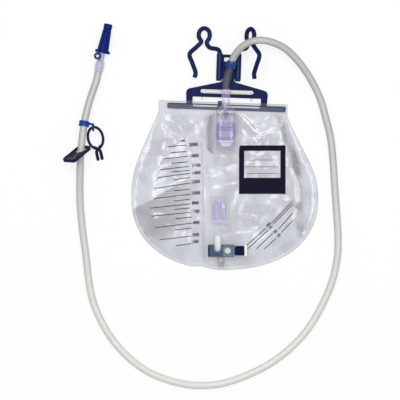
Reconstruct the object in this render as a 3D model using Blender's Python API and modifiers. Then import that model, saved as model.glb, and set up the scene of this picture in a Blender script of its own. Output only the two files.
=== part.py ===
"""Urine drainage bag, lying on its back: +X right, +Y towards the hooks, +Z up, metres.

A flat bag of two welded films hangs on a moulded frame with two swivelling bed hooks.
The drainage tube comes out of the drip chamber, is clipped to the frame's post, passes
over the raised right hook and runs round the bag to a sample port, adapter and cap.
"""
import math

import bmesh
import bpy
from mathutils import Matrix, Vector

MM = 0.001
GAP = 0.3 * MM               # clearance between pieces that seat on each other

# Bag: two films welded round the rim, with the frame's rail in the hem
FILM = 0.4 * MM
BAG_HALF_WIDTH = 124.2 * MM
BAG_WIDEST_Y = -67.0 * MM
BAG_BOTTOM_Y = -161.5 * MM
HEM_HALF_WIDTH = 85.5 * MM
HEM_DEPTH = 15.5 * MM
HEM_EDGE = 3.2 * MM          # film above the rail
WELD_WIDTH = 5.0 * MM
SIDE_RISE = 24.0 * MM        # from the weld to the flat of the front film
SIDE_SLOPE = 0.44            # how far the sides lean out under the hem
SQUARENESS = 0.62            # of the bag's lower corners, where 0.55 is an ellipse

# Hanger frame: one moulding, turned a little in the hem as it lies
HANGER_X = 2.1 * MM
HANGER_Y = 53.9 * MM
HANGER_TILT = math.radians(-2.0)
RAIL_LENGTH = 157.0 * MM
RAIL_HEIGHT = 7.6 * MM
RAIL_THICK = 7.0 * MM
RAIL_SLIT = 2.4 * MM
RAIL_LIP = 1.4 * MM          # web above the slit
PLATE = 4.0 * MM
LEG_WIDTH = 9.0 * MM
YOKE_HALF_WIDTH = 54.2 * MM
YOKE_SHOULDER_DROP = 9.5 * MM
YOKE_BAR_Y = 13.0 * MM       # lower edge of the yoke, over the window
YOKE_BAR = 5.0 * MM          # bar between the window and the cord's slot
PRONG_X = -8.6 * MM          # the stop beside the chamber's neck
PRONG_WIDTH = 6.0 * MM
PRONG_TOP = 8.4 * MM
NECK_HALF_WIDTH = 10.2 * MM
NECK_Y = 33.6 * MM
POST_SHIFT = 1.2 * MM
SLEEVE_BOTTOM_Y = 37.2 * MM
SLEEVE_LENGTH = 34.0 * MM
SLEEVE_WALL = 0.8 * MM
POST_HOLE_WIDTH = 9.0 * MM
POST_HOLE_HEIGHT = 5.4 * MM
POST_HOLE_DROP = 7.6 * MM    # from the post's top to the hole's centre

# Hooks: one bent rod each, free to turn in a sleeve of the post
ROD = 3.0 * MM               # radius
HOOK_SPACING = 24.8 * MM     # between the two shafts
HOOK_HEAD = 3.75 * MM        # radius of the head that keeps the shaft in its sleeve
HOOK_HEAD_LENGTH = 2.2 * MM
RIGHT_HOOK_RAISE = math.radians(48.0)
HOOK_ARM_REACH = 15.4 * MM   # from the shaft to the foot of the eye
HOOK_ARM_RISE = 8.2 * MM
HOOK_EYE_REACH = 21.6 * MM   # middle of the eye
HOOK_EYE_HALF = 7.1 * MM
HOOK_EYE_NECK = 3.6 * MM     # half the pinch under the eye
HOOK_EYE_HEIGHT = 24.6 * MM
HOOK_REACH = 40.1 * MM
HOOK_TIP_REACH = 32.5 * MM

# Hanging cord in the yoke's slot
SLOT_HALF_LENGTH = 35.0 * MM
SLOT_HEIGHT = 5.2 * MM
STRING = 1.7 * MM            # radius
STRING_TAIL = 0.8 * MM
STRING_KNOT = 1.6 * MM

# Drainage tube
TUBE = 4.8 * MM              # radius
TUBE_BORE = 3.3 * MM

# Drip chamber
CHAMBER_X = 1.2 * MM
CHAMBER_HALF_WIDTH = 12.9 * MM
CHAMBER_HALF_DEPTH = 6.5 * MM
CHAMBER_WALL = 1.2 * MM
CHAMBER_BAND = 0.6 * MM      # how far the grip band stands out at each side
CHAMBER_JOINT_Y = 42.4 * MM
CHAMBER_BOTTOM_Y = -2.5 * MM
CHAMBER_NECK = 6.0 * MM      # outer radius
CHAMBER_NECK_TOP_Y = 77.1 * MM
CHAMBER_SHOULDER = 12.0 * MM
NOZZLE_WALL = 1.2 * MM
NOZZLE_LENGTH = 26.0 * MM
NOZZLE_SEAT = 7.0 * MM       # length held in the neck
OUTLET_HOLE = 3.0 * MM       # radius
OUTLET_HOLE_Y = 3.6 * MM
VALVE_LIP_HEIGHT = 6.4 * MM
VALVE_FLANGE = 1.4 * MM
VALVE_Y = 8.2 * MM
FLANGE_X = -1.9 * MM
FLANGE_HALF_WIDTH = 22.4 * MM
FLANGE_TOP_Y = 46.8 * MM
FLANGE_BOTTOM_Y = -8.3 * MM
FLANGE_THICK = 1.0 * MM
FLANGE_CORNER = 12.0 * MM

# Vent on the middle of the front film
VENT_X = -7.4 * MM
VENT_TOP_Y = -66.6 * MM
VENT_HALF_WIDTH = 10.2 * MM
VENT_HEIGHT = 33.4 * MM
VENT_BASE = 1.0 * MM
VENT_LOBE = 3.9 * MM         # radius
VENT_LOBE_HEIGHT = 2.6 * MM
VENT_DISC = 2.4 * MM
PATCH_MARGIN = 3.4 * MM
PATCH_THICK = 0.5 * MM

# Outlet valve at the foot of the bag
VALVE_LEFT_X = -22.4 * MM
VALVE_LENGTH = 35.4 * MM
VALVE_TOP_Y = -127.6 * MM
VALVE_HEIGHT = 16.4 * MM
VALVE_DEPTH = 11.0 * MM
STUB_X = -9.6 * MM
STUB = 5.2 * MM              # radius
STUB_TOP_Y = -113.6 * MM
STUB_BOTTOM_Y = -138.1 * MM
SLIDER_Y = -135.8 * MM
SLIDER_STEM = 3.0 * MM       # radius
SLIDER_STEM_LENGTH = 12.0 * MM
SLIDER_BLOCK = 12.2 * MM
SLIDER_BLOCK_HEIGHT = 12.6 * MM
SLIDER_BLOCK_DEPTH = 9.0 * MM
SLIDER_TIP = 3.0 * MM
SLIDER_TIP_HEIGHT = 15.0 * MM
SEAL_THICK = 0.9 * MM
SEAL_WIDTH = 1.8 * MM
DIAL_X = 3.6 * MM
DIAL = 4.8 * MM              # radius
DIAL_THICK = 1.2 * MM
SPOUT_X = -5.2 * MM
SPOUT_TOP = 5.2 * MM         # radius at the valve
SPOUT_END = 4.4 * MM
SPOUT_BORE = 2.4 * MM
SPOUT_LENGTH = 12.6 * MM

# Clip that holds the tube on the post
CLIP_X = 3.7 * MM
CLIP_Y = 56.0 * MM
CLIP_TURN = math.radians(-16.0)
CLIP_LENGTH = 9.0 * MM
CLIP_WALL = 1.5 * MM
CLIP_MOUTH = math.radians(100.0)
CLIP_FOOT = 4.0 * MM         # half width of its foot

# Sample port, adapter and cap, on one axis that leans from +Y towards +X
END_X = -167.7 * MM
END_Y = 101.0 * MM
END_Z = 8.6 * MM
END_LEAN = math.radians(-12.0)
PORT_BODY = 6.2 * MM         # radius
PORT_BODY_LENGTH = 13.0 * MM
PORT_NECK = 4.2 * MM
PORT_LENGTH = 24.4 * MM
PORT_BOSS = 4.0 * MM
PORT_BOSS_SIDE = 5.0 * MM
PORT_BOSS_ALONG = 20.0 * MM
PORT_BOSS_TOP = 5.4 * MM     # above the axis
COLLAR = 4.8 * MM
COLLAR_BORE = 2.6 * MM
COLLAR_THICK = 1.6 * MM
ADAPTER_ROOT = 4.6 * MM
ADAPTER_TIP = 3.2 * MM
ADAPTER_BORE = 2.0 * MM
ADAPTER_LENGTH = 34.0 * MM
CAP_WALL = 1.5 * MM
CAP_LENGTH = 39.5 * MM
CAP_ROOT = 7.6 * MM
CAP_TOP = 5.6 * MM
CAP_EAR_REACH = 9.8 * MM
CAP_EAR_HEIGHT = 4.4 * MM
CAP_EAR_THICK = 3.0 * MM

# Slide clamp on the tube
CLAMP_LENGTH = 40.0 * MM
CLAMP_WIDTH = 20.0 * MM
CLAMP_THICK = 2.2 * MM
CLAMP_RIM = 1.6 * MM
CLAMP_RIM_HEIGHT = 1.1 * MM
CLAMP_EYE = 6.9 * MM         # radius of the open end of its keyhole
CLAMP_EYE_IN = 10.3 * MM     # from the plate's near end to the middle of the eye
CLAMP_SLOT = 3.6 * MM
CLAMP_SLOT_LENGTH = 20.0 * MM
CLAMP_X = -190.3 * MM
CLAMP_Y = -3.4 * MM
CLAMP_Z = 14.2 * MM
CLAMP_ALONG = Vector((-20.9, -19.0, 28.3))
CLAMP_ACROSS = Vector((16.3, -1.3, 11.2))

# Band and sheet clip beside it
BAND_X = -186.4 * MM
BAND_Y = 32.0 * MM
BAND_Z = 11.4 * MM
BAND_ALONG = Vector((4.8, 30.0, -3.4))
BAND_PLAY = 0.5 * MM
BAND_WALL = 1.7 * MM
BAND_LENGTH = 7.4 * MM
BAND_EYE_WIRE = 1.5 * MM
BAND_EYE_PLAY = 0.6 * MM     # round the clip's ring
RING_X = -171.6 * MM
RING_Y = 13.6 * MM
RING_HALF_WIDTH = 9.9 * MM
RING_HALF_HEIGHT = 14.4 * MM
RING_WIRE = 1.8 * MM         # radius
RING_TURN = math.radians(12.0)
RING_PITCH = math.radians(6.0)
PRONG_LENGTH = 16.0 * MM
PRONG_SPREAD = 2.8 * MM
PRONG = 2.1 * MM

# Heights that follow from the pieces under them
HEM_TOP_Y = HANGER_Y + RAIL_HEIGHT / 2 + HEM_EDGE
HANGER_Z = FILM + GAP + RAIL_THICK / 2
FRONT_TOP = HANGER_Z + RAIL_THICK / 2 + GAP + FILM
SEAT = FRONT_TOP + GAP
CHAMBER_Z = SEAT + FLANGE_THICK + GAP + CHAMBER_HALF_DEPTH
SLEEVE_BORE = ROD + GAP
SLEEVE = SLEEVE_BORE + SLEEVE_WALL
SHAFT_OFFSET = HOOK_SPACING / 2
POST_TOP = SLEEVE_BOTTOM_Y + SLEEVE_LENGTH
VALVE_Z = SEAT + VALVE_DEPTH / 2

# Route of the tube's centre line, from the chamber's neck to the sample port
ROUTE_MM = (
    (1.2, 77.4, 16.5), (1.2, 81.0, 16.5), (1.9, 87.5, 16.5), (6.3, 104.6, 16.5), (7.7, 109.6, 16.5),
    (9.2, 114.6, 17.0), (13.4, 122.7, 20.6), (20.0, 130.6, 26.6), (28.2, 136.6, 31.6),
    (40.0, 140.6, 34.6), (54.0, 140.4, 33.2), (75.7, 132.9, 25.3), (91.0, 120.7, 18.4),
    (106.2, 102.6, 11.8), (118.4, 82.7, 7.4), (127.6, 62.0, 5.4), (134.0, 39.0, 4.9),
    (140.3, 12.7, 4.9), (146.3, -59.9, 4.9), (150.1, -130.5, 4.9), (146.8, -158.5, 4.9),
    (136.8, -191.4, 4.9), (106.4, -244.7, 4.9), (62.2, -284.2, 4.9), (4.4, -310.1, 4.9),
    (-29.0, -314.7, 4.9), (-59.5, -311.8, 4.9), (-104.2, -295.2, 4.9), (-145.2, -259.0, 4.9),
    (-174.0, -206.0, 4.9), (-185.2, -135.3, 4.9), (-189.9, -98.1, 5.1), (-192.0, -70.1, 6.6),
    (-191.6, -26.0, 11.8), (-190.3, -3.4, 14.2), (-186.4, 32.0, 11.4), (-180.0, 60.0, 9.0),
    (-170.04, 90.0, 8.6), (-168.66, 96.5, 8.6), (-167.7, 101.0, 8.6),
)
ROUTE_STEP = 16.0 * MM


def clear_scene():
    for item in list(bpy.data.objects):
        bpy.data.objects.remove(item, do_unlink=True)


def new_collection(name):
    group = bpy.data.collections.new(name)
    bpy.context.scene.collection.children.link(group)
    return group


clear_scene()
PARTS = new_collection("urine_drainage_bag")
CUTTERS = new_collection("cutters")


def plastic(name, colour, roughness=0.35, alpha=1.0):
    material = bpy.data.materials.new(name)
    material.use_nodes = True
    shader = material.node_tree.nodes["Principled BSDF"]
    shader.inputs["Base Color"].default_value = (*colour, 1.0)
    shader.inputs["Roughness"].default_value = roughness
    shader.inputs["Metallic"].default_value = 0.0
    shader.inputs["Alpha"].default_value = alpha
    return material


def place(obj, group=PARTS):
    for other in list(obj.users_collection):
        other.objects.unlink(obj)
    group.objects.link(obj)
    return obj


def mesh_object(name, bm, group=PARTS):
    mesh = bpy.data.meshes.new(name)
    bm.to_mesh(mesh)
    bm.free()
    obj = bpy.data.objects.new(name, mesh)
    group.objects.link(obj)
    return obj


def finish(obj, name, colour, roughness=0.35, alpha=1.0, parent=None):
    """Name a sub-part, shade it, and give it its own material."""
    obj.name = name
    obj.data.name = name
    place(obj)
    obj.data.materials.clear()
    obj.data.materials.append(plastic(name, colour, roughness, alpha))
    if obj.type == 'MESH':
        obj.data.shade_smooth()
        obj.data.set_sharp_from_angle(angle=math.radians(40.0))
    if parent is not None:
        obj.parent = parent
    return obj


def to_mesh(obj):
    """Turn a curve into a mesh with welded caps, at the same place."""
    bpy.context.view_layer.update()
    graph = bpy.context.evaluated_depsgraph_get()
    mesh = bpy.data.meshes.new_from_object(obj.evaluated_get(graph))
    bm = bmesh.new()
    bm.from_mesh(mesh)
    bmesh.ops.remove_doubles(bm, verts=bm.verts, dist=0.001 * MM)
    bmesh.ops.recalc_face_normals(bm, faces=bm.faces)
    bm.to_mesh(mesh)
    bm.free()
    solid = bpy.data.objects.new(obj.name, mesh)
    solid.matrix_world = obj.matrix_world
    PARTS.objects.link(solid)
    bpy.data.objects.remove(obj, do_unlink=True)
    return solid


def boolean(obj, other, operation):
    place(other, CUTTERS)
    other.hide_render = True
    other.display_type = 'WIRE'
    modifier = obj.modifiers.new(operation.lower(), 'BOOLEAN')
    modifier.operation = operation
    modifier.solver = 'EXACT'
    modifier.object = other
    return obj


def cut(obj, cutter):
    return boolean(obj, cutter, 'DIFFERENCE')


def join(obj, other):
    return boolean(obj, other, 'UNION')


def box(name, size, centre, bevel=0.0):
    bm = bmesh.new()
    bmesh.ops.create_cube(bm, size=1.0)
    bmesh.ops.scale(bm, verts=bm.verts, vec=Vector(size))
    obj = mesh_object(name, bm)
    obj.location = centre
    if bevel:
        edge = obj.modifiers.new("edges", 'BEVEL')
        edge.width = bevel
        edge.segments = 2
        edge.limit_method = 'ANGLE'
    return obj


AXIS_TURN = {
    "z": Matrix.Identity(3),
    "y": Matrix.Rotation(math.radians(-90.0), 3, 'X'),
    "x": Matrix.Rotation(math.radians(90.0), 3, 'Y'),
}


def cylinder(name, radius, length, centre, axis="z", sides=24, end_radius=None):
    """A round bar whose first end points down its axis; end_radius tapers the other."""
    bm = bmesh.new()
    tip = radius if end_radius is None else end_radius
    bmesh.ops.create_cone(bm, cap_ends=True, segments=sides, radius1=radius, radius2=tip, depth=length)
    bmesh.ops.rotate(bm, verts=bm.verts, matrix=AXIS_TURN[axis])
    obj = mesh_object(name, bm)
    obj.location = centre
    return obj


def turned(name, profile, steps=24):
    """Spin a closed profile of (radius, height) points, given down the outer side, about Z."""
    bm = bmesh.new()
    points = [bm.verts.new((radius, 0.0, height)) for radius, height in profile]
    closed = profile[0][0] > 0.0
    for start, end in zip(points, points[1:] + points[:1] if closed else points[1:]):
        bm.edges.new((start, end))
    obj = mesh_object(name, bm)
    spin = obj.modifiers.new("spin", 'SCREW')
    spin.steps = steps
    spin.render_steps = steps
    spin.use_merge_vertices = True
    spin.merge_threshold = 0.01 * MM
    return obj


def plate(name, outlines, thickness, centre_z=0.0, bevel=0.0):
    """A flat moulding from its outline and holes, extruded both ways from centre_z."""
    curve = bpy.data.curves.new(name, 'CURVE')
    curve.dimensions = '2D'
    curve.fill_mode = 'BOTH'
    curve.extrude = thickness / 2
    for outline in outlines:
        spline = curve.splines.new('POLY')
        spline.points.add(len(outline) - 1)
        for point, (x, y) in zip(spline.points, outline):
            point.co = (x, y, 0.0, 1.0)
        spline.use_cyclic_u = True
    obj = bpy.data.objects.new(name, curve)
    PARTS.objects.link(obj)
    obj.location.z = centre_z
    obj = to_mesh(obj)
    if bevel:
        edge = obj.modifiers.new("edges", 'BEVEL')
        edge.width = bevel
        edge.segments = 2
        edge.limit_method = 'ANGLE'
        edge.angle_limit = math.radians(60.0)
    return obj


def rod(name, points, radius, radii=None, resolution=2, closed=False):
    """A round wire or tube along the points, capped at both ends."""
    curve = bpy.data.curves.new(name, 'CURVE')
    curve.dimensions = '3D'
    curve.bevel_depth = radius
    curve.bevel_resolution = resolution
    curve.use_fill_caps = not closed
    curve.twist_mode = 'MINIMUM'
    spline = curve.splines.new('POLY')
    spline.points.add(len(points) - 1)
    for index, (point, co) in enumerate(zip(spline.points, points)):
        point.co = (*co, 1.0)
        point.radius = radii[index] / radius if radii else 1.0
    spline.use_cyclic_u = closed
    obj = bpy.data.objects.new(name, curve)
    PARTS.objects.link(obj)
    return obj


def smooth_path(points, step):
    """Points at most one step apart on a centripetal curve through the given ones."""
    knots = [Vector(p) for p in points]
    knots = [2 * knots[0] - knots[1]] + knots + [2 * knots[-1] - knots[-2]]
    path = []
    for a, b, c, d in zip(knots, knots[1:], knots[2:], knots[3:]):
        t0 = 0.0
        t1 = t0 + math.sqrt((b - a).length)
        t2 = t1 + math.sqrt((c - b).length)
        t3 = t2 + math.sqrt((d - c).length)
        count = max(1, math.ceil((c - b).length / step))
        for i in range(count):
            t = t1 + (t2 - t1) * i / count
            a1 = a * ((t1 - t) / (t1 - t0)) + b * ((t - t0) / (t1 - t0))
            a2 = b * ((t2 - t) / (t2 - t1)) + c * ((t - t1) / (t2 - t1))
            a3 = c * ((t3 - t) / (t3 - t2)) + d * ((t - t2) / (t3 - t2))
            b1 = a1 * ((t2 - t) / (t2 - t0)) + a2 * ((t - t0) / (t2 - t0))
            b2 = a2 * ((t3 - t) / (t3 - t1)) + a3 * ((t - t1) / (t3 - t1))
            path.append(b1 * ((t2 - t) / (t2 - t1)) + b2 * ((t - t1) / (t2 - t1)))
    path.append(knots[-2])
    return path


def arc(x, y, radius, start, end, count):
    """Points on an arc between two angles in degrees."""
    angles = [math.radians(start + (end - start) * i / count) for i in range(count + 1)]
    return [(x + radius * math.cos(a), y + radius * math.sin(a)) for a in angles]


def rounded_box(x, y, half_x, half_y, radius, count=4):
    corners = ((1, 1, 0), (-1, 1, 90), (-1, -1, 180), (1, -1, 270))
    outline = []
    for side_x, side_y, start in corners:
        outline += arc(x + side_x * (half_x - radius), y + side_y * (half_y - radius),
                       radius, start, start + 90, count)
    return outline


def oval_section(half_x, half_z, power, count):
    """One ring of a moulding between round (power 2) and square."""
    ring = []
    for i in range(count):
        angle = 2 * math.pi * i / count
        c, s = math.cos(angle), math.sin(angle)
        ring.append((half_x * math.copysign(abs(c) ** (2 / power), c),
                     half_z * math.copysign(abs(s) ** (2 / power), s)))
    return ring


def loft_y(name, x, z, sections, count=28, caps=(False, False)):
    """Skin through sections (y, half width, half depth, power), each square to Y."""
    bm = bmesh.new()
    rings = []
    for y, half_x, half_z, power in sections:
        ring = oval_section(half_x, half_z, power, count)
        rings.append([bm.verts.new((x + u, y, z + w)) for u, w in ring])
    for lower, upper in zip(rings, rings[1:]):
        for i in range(count):
            j = (i + 1) % count
            bm.faces.new((lower[i], lower[j], upper[j], upper[i]))
    if caps[0]:
        bm.faces.new(rings[0])
    if caps[1]:
        bm.faces.new(rings[-1])
    bmesh.ops.recalc_face_normals(bm, faces=bm.faces)
    return mesh_object(name, bm)


def shell(obj, wall):
    """Give an open skin its wall, inwards."""
    solid = obj.modifiers.new("wall", 'SOLIDIFY')
    solid.thickness = wall
    solid.offset = -1.0
    solid.use_even_offset = True
    solid.use_rim = True
    return obj


def bezier(a, b, c, d, count):
    """Points on a cubic from a to d with handles b and c, without the last."""
    points = []
    for i in range(count):
        t = i / count
        s = 1.0 - t
        x, y = (s ** 3 * p + 3 * s * s * t * q + 3 * s * t * t * r + t ** 3 * e
                for p, q, r, e in zip(a, b, c, d))
        points.append((x, y))
    return points


def hem_corner(side, y):
    """A point at the hem's end, turned with the rail."""
    x = HANGER_X + side * HEM_HALF_WIDTH - (y - HANGER_Y) * math.tan(HANGER_TILT)
    return x, y + side * HEM_HALF_WIDTH * math.tan(HANGER_TILT)


def bag_outline():
    """The bag's edge from the hem's right end down round the bottom and up to its left end."""
    halves = []
    for side in (1, -1):
        top = hem_corner(side, HEM_TOP_Y)
        foot = hem_corner(side, HEM_TOP_Y - HEM_DEPTH)
        widest = (side * BAG_HALF_WIDTH, BAG_WIDEST_Y)
        bottom = (0.0, BAG_BOTTOM_Y)
        run = foot[1] - BAG_WIDEST_Y
        handle = (foot[0] + side * SIDE_SLOPE * run * 0.55, foot[1] - run * 0.55)
        above = (widest[0], BAG_WIDEST_Y + run * 0.35)
        half = [top, *bezier(foot, handle, above, widest, 6)]
        drop = BAG_WIDEST_Y - BAG_BOTTOM_Y
        below = (widest[0], BAG_WIDEST_Y - drop * SQUARENESS)
        beside = (side * BAG_HALF_WIDTH * SQUARENESS, BAG_BOTTOM_Y)
        half += bezier(widest, below, beside, bottom, 9)
        halves.append(half)
    right, left = halves
    return right + [(0.0, BAG_BOTTOM_Y)] + left[::-1]


def bag_edge():
    """The outline closed by points along the hem's top edge."""
    outline = bag_outline()
    start, end = outline[-1], outline[0]
    count = 6
    top = [(start[0] + (end[0] - start[0]) * i / count, start[1] + (end[1] - start[1]) * i / count)
           for i in range(1, count)]
    return outline + top


def make_back_film():
    film = plate("back_film", [bag_edge()], FILM, FILM / 2)
    finish(film, "back_film", (0.80, 0.81, 0.84), 0.25, 0.5)


def make_front_film():
    edge = bag_edge()
    centre = Vector((0.0, (HEM_TOP_Y + BAG_BOTTOM_Y) / 2))
    hem_foot = HEM_TOP_Y - HEM_DEPTH
    low = FILM + 2 * GAP + FILM
    bm = bmesh.new()
    rings = []
    for share, height in ((0.0, 0.0), (0.18, 0.0), (0.42, 0.42), (0.70, 0.84), (1.0, 1.0)):
        ring = []
        for x, y in edge:
            point = Vector((x, y))
            fade = min(1.0, max(0.0, (hem_foot - y) / (3 * HEM_DEPTH)))
            inset = HEM_EDGE * 0.75 + (WELD_WIDTH + SIDE_RISE) * fade
            inward = (centre - point).normalized() * inset * share
            if fade == 0.0 and abs(x - HANGER_X) < HEM_HALF_WIDTH * 0.9:
                inward.x = 0.0
            spot = point + inward
            ring.append(bm.verts.new((spot.x, spot.y, low + (FRONT_TOP - low) * height)))
        rings.append(ring)
    count = len(edge)
    for outer, inner in zip(rings, rings[1:]):
        for i in range(count):
            j = (i + 1) % count
            bm.faces.new((outer[i], inner[i], inner[j], outer[j]))
    bm.faces.new(rings[-1])
    bmesh.ops.recalc_face_normals(bm, faces=bm.faces)
    if sum(face.normal.z for face in bm.faces) < 0:
        bmesh.ops.reverse_faces(bm, faces=bm.faces)
    film = shell(mesh_object("front_film", bm), FILM)
    for side in (-1, 1):
        x = side * (YOKE_HALF_WIDTH - LEG_WIDTH / 2)
        film = cut(film, hem_notch("leg_notch", x, LEG_WIDTH / 2 + 2 * GAP))
    cut(film, hem_notch("prong_notch", PRONG_X, PRONG_WIDTH / 2 + 2 * GAP))
    cut(film, cylinder("film_outlet_hole", OUTLET_HOLE, 4 * FILM, (CHAMBER_X, OUTLET_HOLE_Y, FRONT_TOP)))
    cut(film, cylinder("film_valve_hole", OUTLET_HOLE, 4 * FILM, (STUB_X, STUB_TOP_Y - STUB, FRONT_TOP)))
    finish(film, "front_film", (0.82, 0.83, 0.87), 0.2, 0.4)


def hem_notch(name, x, half_width):
    """The slot in the hem's top edge that lets a leg of the frame through."""
    length = HEM_EDGE + RAIL_LIP + 10 * MM
    foot = RAIL_HEIGHT / 2 - RAIL_LIP / 2
    cutter = box(name, (2 * half_width, length, 3 * RAIL_THICK), (x, foot + length / 2, HANGER_Z))
    cutter.parent = HANGER
    return cutter


HANGER = bpy.data.objects.new("hanger_place", None)
PARTS.objects.link(HANGER)
HANGER.location = (HANGER_X, HANGER_Y, 0.0)
HANGER.rotation_euler.z = HANGER_TILT


def make_hanger_frame():
    """Post, yoke, legs and rail, moulded in one."""
    post_half = SHAFT_OFFSET - SLEEVE_BORE / 3
    waist = SHAFT_OFFSET - HOOK_HEAD - 2 * GAP
    shoulder_y = NECK_Y - YOKE_SHOULDER_DROP
    corner = 6.0 * MM
    leg_foot = -RAIL_HEIGHT / 4
    right = [
        (POST_SHIFT + post_half, POST_TOP - 1.0 * MM),
        (POST_SHIFT + post_half, SLEEVE_BOTTOM_Y + 1.4 * MM),
        (POST_SHIFT + waist, SLEEVE_BOTTOM_Y + 0.8 * MM),
        (POST_SHIFT + waist, SLEEVE_BOTTOM_Y - HOOK_HEAD_LENGTH),
        (POST_SHIFT + NECK_HALF_WIDTH, NECK_Y),
    ]
    right += arc(YOKE_HALF_WIDTH - corner, shoulder_y - corner, corner, 78, 0, 5)
    right += [(YOKE_HALF_WIDTH - 1.0 * MM, leg_foot)]
    right += [(YOKE_HALF_WIDTH - LEG_WIDTH, leg_foot)]
    right += [(YOKE_HALF_WIDTH - LEG_WIDTH, YOKE_BAR_Y)]
    left = [(-x if abs(x) > NECK_HALF_WIDTH + SHAFT_OFFSET else 2 * POST_SHIFT - x, y) for x, y in right]
    outline = right + left[::-1]
    slot_y = YOKE_BAR_Y + YOKE_BAR + SLOT_HEIGHT / 2
    slot = rounded_box(0.0, slot_y, SLOT_HALF_LENGTH, SLOT_HEIGHT / 2, SLOT_HEIGHT / 2 - 0.1 * MM)
    hole = rounded_box(POST_SHIFT - 2.0 * MM, POST_TOP - POST_HOLE_DROP,
                       POST_HOLE_WIDTH / 2, POST_HOLE_HEIGHT / 2, 1.6 * MM, 3)
    frame = plate("hanger_frame", [outline, slot, hole], PLATE, HANGER_Z, 0.7 * MM)
    slit_y = RAIL_HEIGHT / 2 - RAIL_LIP - RAIL_SLIT / 2
    inner = YOKE_HALF_WIDTH - LEG_WIDTH
    bar = [rounded_box(0.0, 0.0, RAIL_LENGTH / 2, RAIL_HEIGHT / 2, RAIL_HEIGHT / 4, 3)]
    for start, end in ((-inner, PRONG_X - PRONG_WIDTH / 2), (PRONG_X + PRONG_WIDTH / 2, inner)):
        half_length = (end - start) / 2 - SLEEVE_WALL
        bar.append(rounded_box((start + end) / 2, slit_y, half_length, RAIL_SLIT / 2, RAIL_SLIT / 4, 2))
    rail = plate("rail", bar, RAIL_THICK, HANGER_Z, RAIL_LIP * 0.4)
    join(frame, rail)
    stop_height = PRONG_TOP + RAIL_HEIGHT / 4
    stop_at = (PRONG_X, PRONG_TOP - stop_height / 2, HANGER_Z)
    stop = box("neck_stop", (PRONG_WIDTH, stop_height, PLATE), stop_at, 0.6 * MM)
    join(frame, stop)
    middle = SLEEVE_BOTTOM_Y + SLEEVE_LENGTH / 2
    for side in (-1, 1):
        x = POST_SHIFT + side * SHAFT_OFFSET
        sleeve = cylinder("sleeve", SLEEVE, SLEEVE_LENGTH, (x, middle, HANGER_Z), "y")
        sleeve.parent = HANGER
        join(frame, sleeve)
    for side in (-1, 1):
        x = POST_SHIFT + side * SHAFT_OFFSET
        bore = cylinder("sleeve_bore", SLEEVE_BORE, SLEEVE_LENGTH + PLATE, (x, middle, HANGER_Z), "y")
        bore.parent = HANGER
        cut(frame, bore)
    rail.parent = HANGER
    stop.parent = HANGER
    finish(frame, "hanger_frame", (0.07, 0.09, 0.32), 0.35, parent=HANGER)


def hook_points():
    """Centre line of a hook in its own plane: distance from its shaft, and height."""
    arm = POST_TOP + HOOK_ARM_RISE
    eye_top = arm + HOOK_EYE_HEIGHT
    pinch = arm + 6.2 * MM
    belly = arm + 15.6 * MM
    near, far = HOOK_EYE_REACH - HOOK_EYE_NECK, HOOK_EYE_REACH + HOOK_EYE_NECK
    bend_y = POST_TOP - 2.0 * MM
    return [
        (0.0, SLEEVE_BOTTOM_Y - HOOK_HEAD_LENGTH),
        (0.0, SLEEVE_BOTTOM_Y + SLEEVE_LENGTH / 3),
        (0.0, POST_TOP - 2 * ROD),
        (0.0, POST_TOP),
        (0.7 * MM, POST_TOP + ROD),
        (3.4 * MM, arm - 2.6 * MM),
        (HOOK_ARM_REACH - 1.5 * MM, arm - 0.6 * MM),
        (near, pinch - 1.0 * MM),
        (HOOK_EYE_REACH - HOOK_EYE_HALF, belly),
        (HOOK_EYE_REACH, eye_top),
        (HOOK_EYE_REACH + HOOK_EYE_HALF, belly),
        (far, pinch + 0.6 * MM),
        (HOOK_REACH - 8.5 * MM, arm - 0.8 * MM),
        (HOOK_REACH, bend_y),
        (HOOK_REACH - 4.3 * MM, bend_y - 12.6 * MM),
        (HOOK_TIP_REACH - 1.2 * MM, bend_y - 25.0 * MM),
        (HOOK_TIP_REACH, bend_y - 30.6 * MM),
    ]


def make_hook(name, side, raised):
    """A hook whose origin is on its shaft; side is -1 for the left and 1 for the right."""
    flat = [(side * x, y, 0.0) for x, y in hook_points()]
    path = smooth_path(flat, 2.6 * MM)
    path = [path[0], path[0] + Vector((0, HOOK_HEAD_LENGTH - GAP, 0)),
            path[0] + Vector((0, HOOK_HEAD_LENGTH - GAP / 2, 0)), Vector(flat[1])] + \
           [p for p in path if p.y > flat[1][1] + 1.0 * MM or abs(p.x) > 1.0 * MM]
    radii = [HOOK_HEAD, HOOK_HEAD] + [ROD] * (len(path) - 2)
    hook = rod(name, path, ROD, radii, resolution=2)
    hook.location = (POST_SHIFT + side * SHAFT_OFFSET, 0.0, HANGER_Z)
    hook.rotation_euler.y = -side * raised
    finish(hook, name, (0.05, 0.06, 0.30), 0.35, parent=HANGER)


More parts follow.
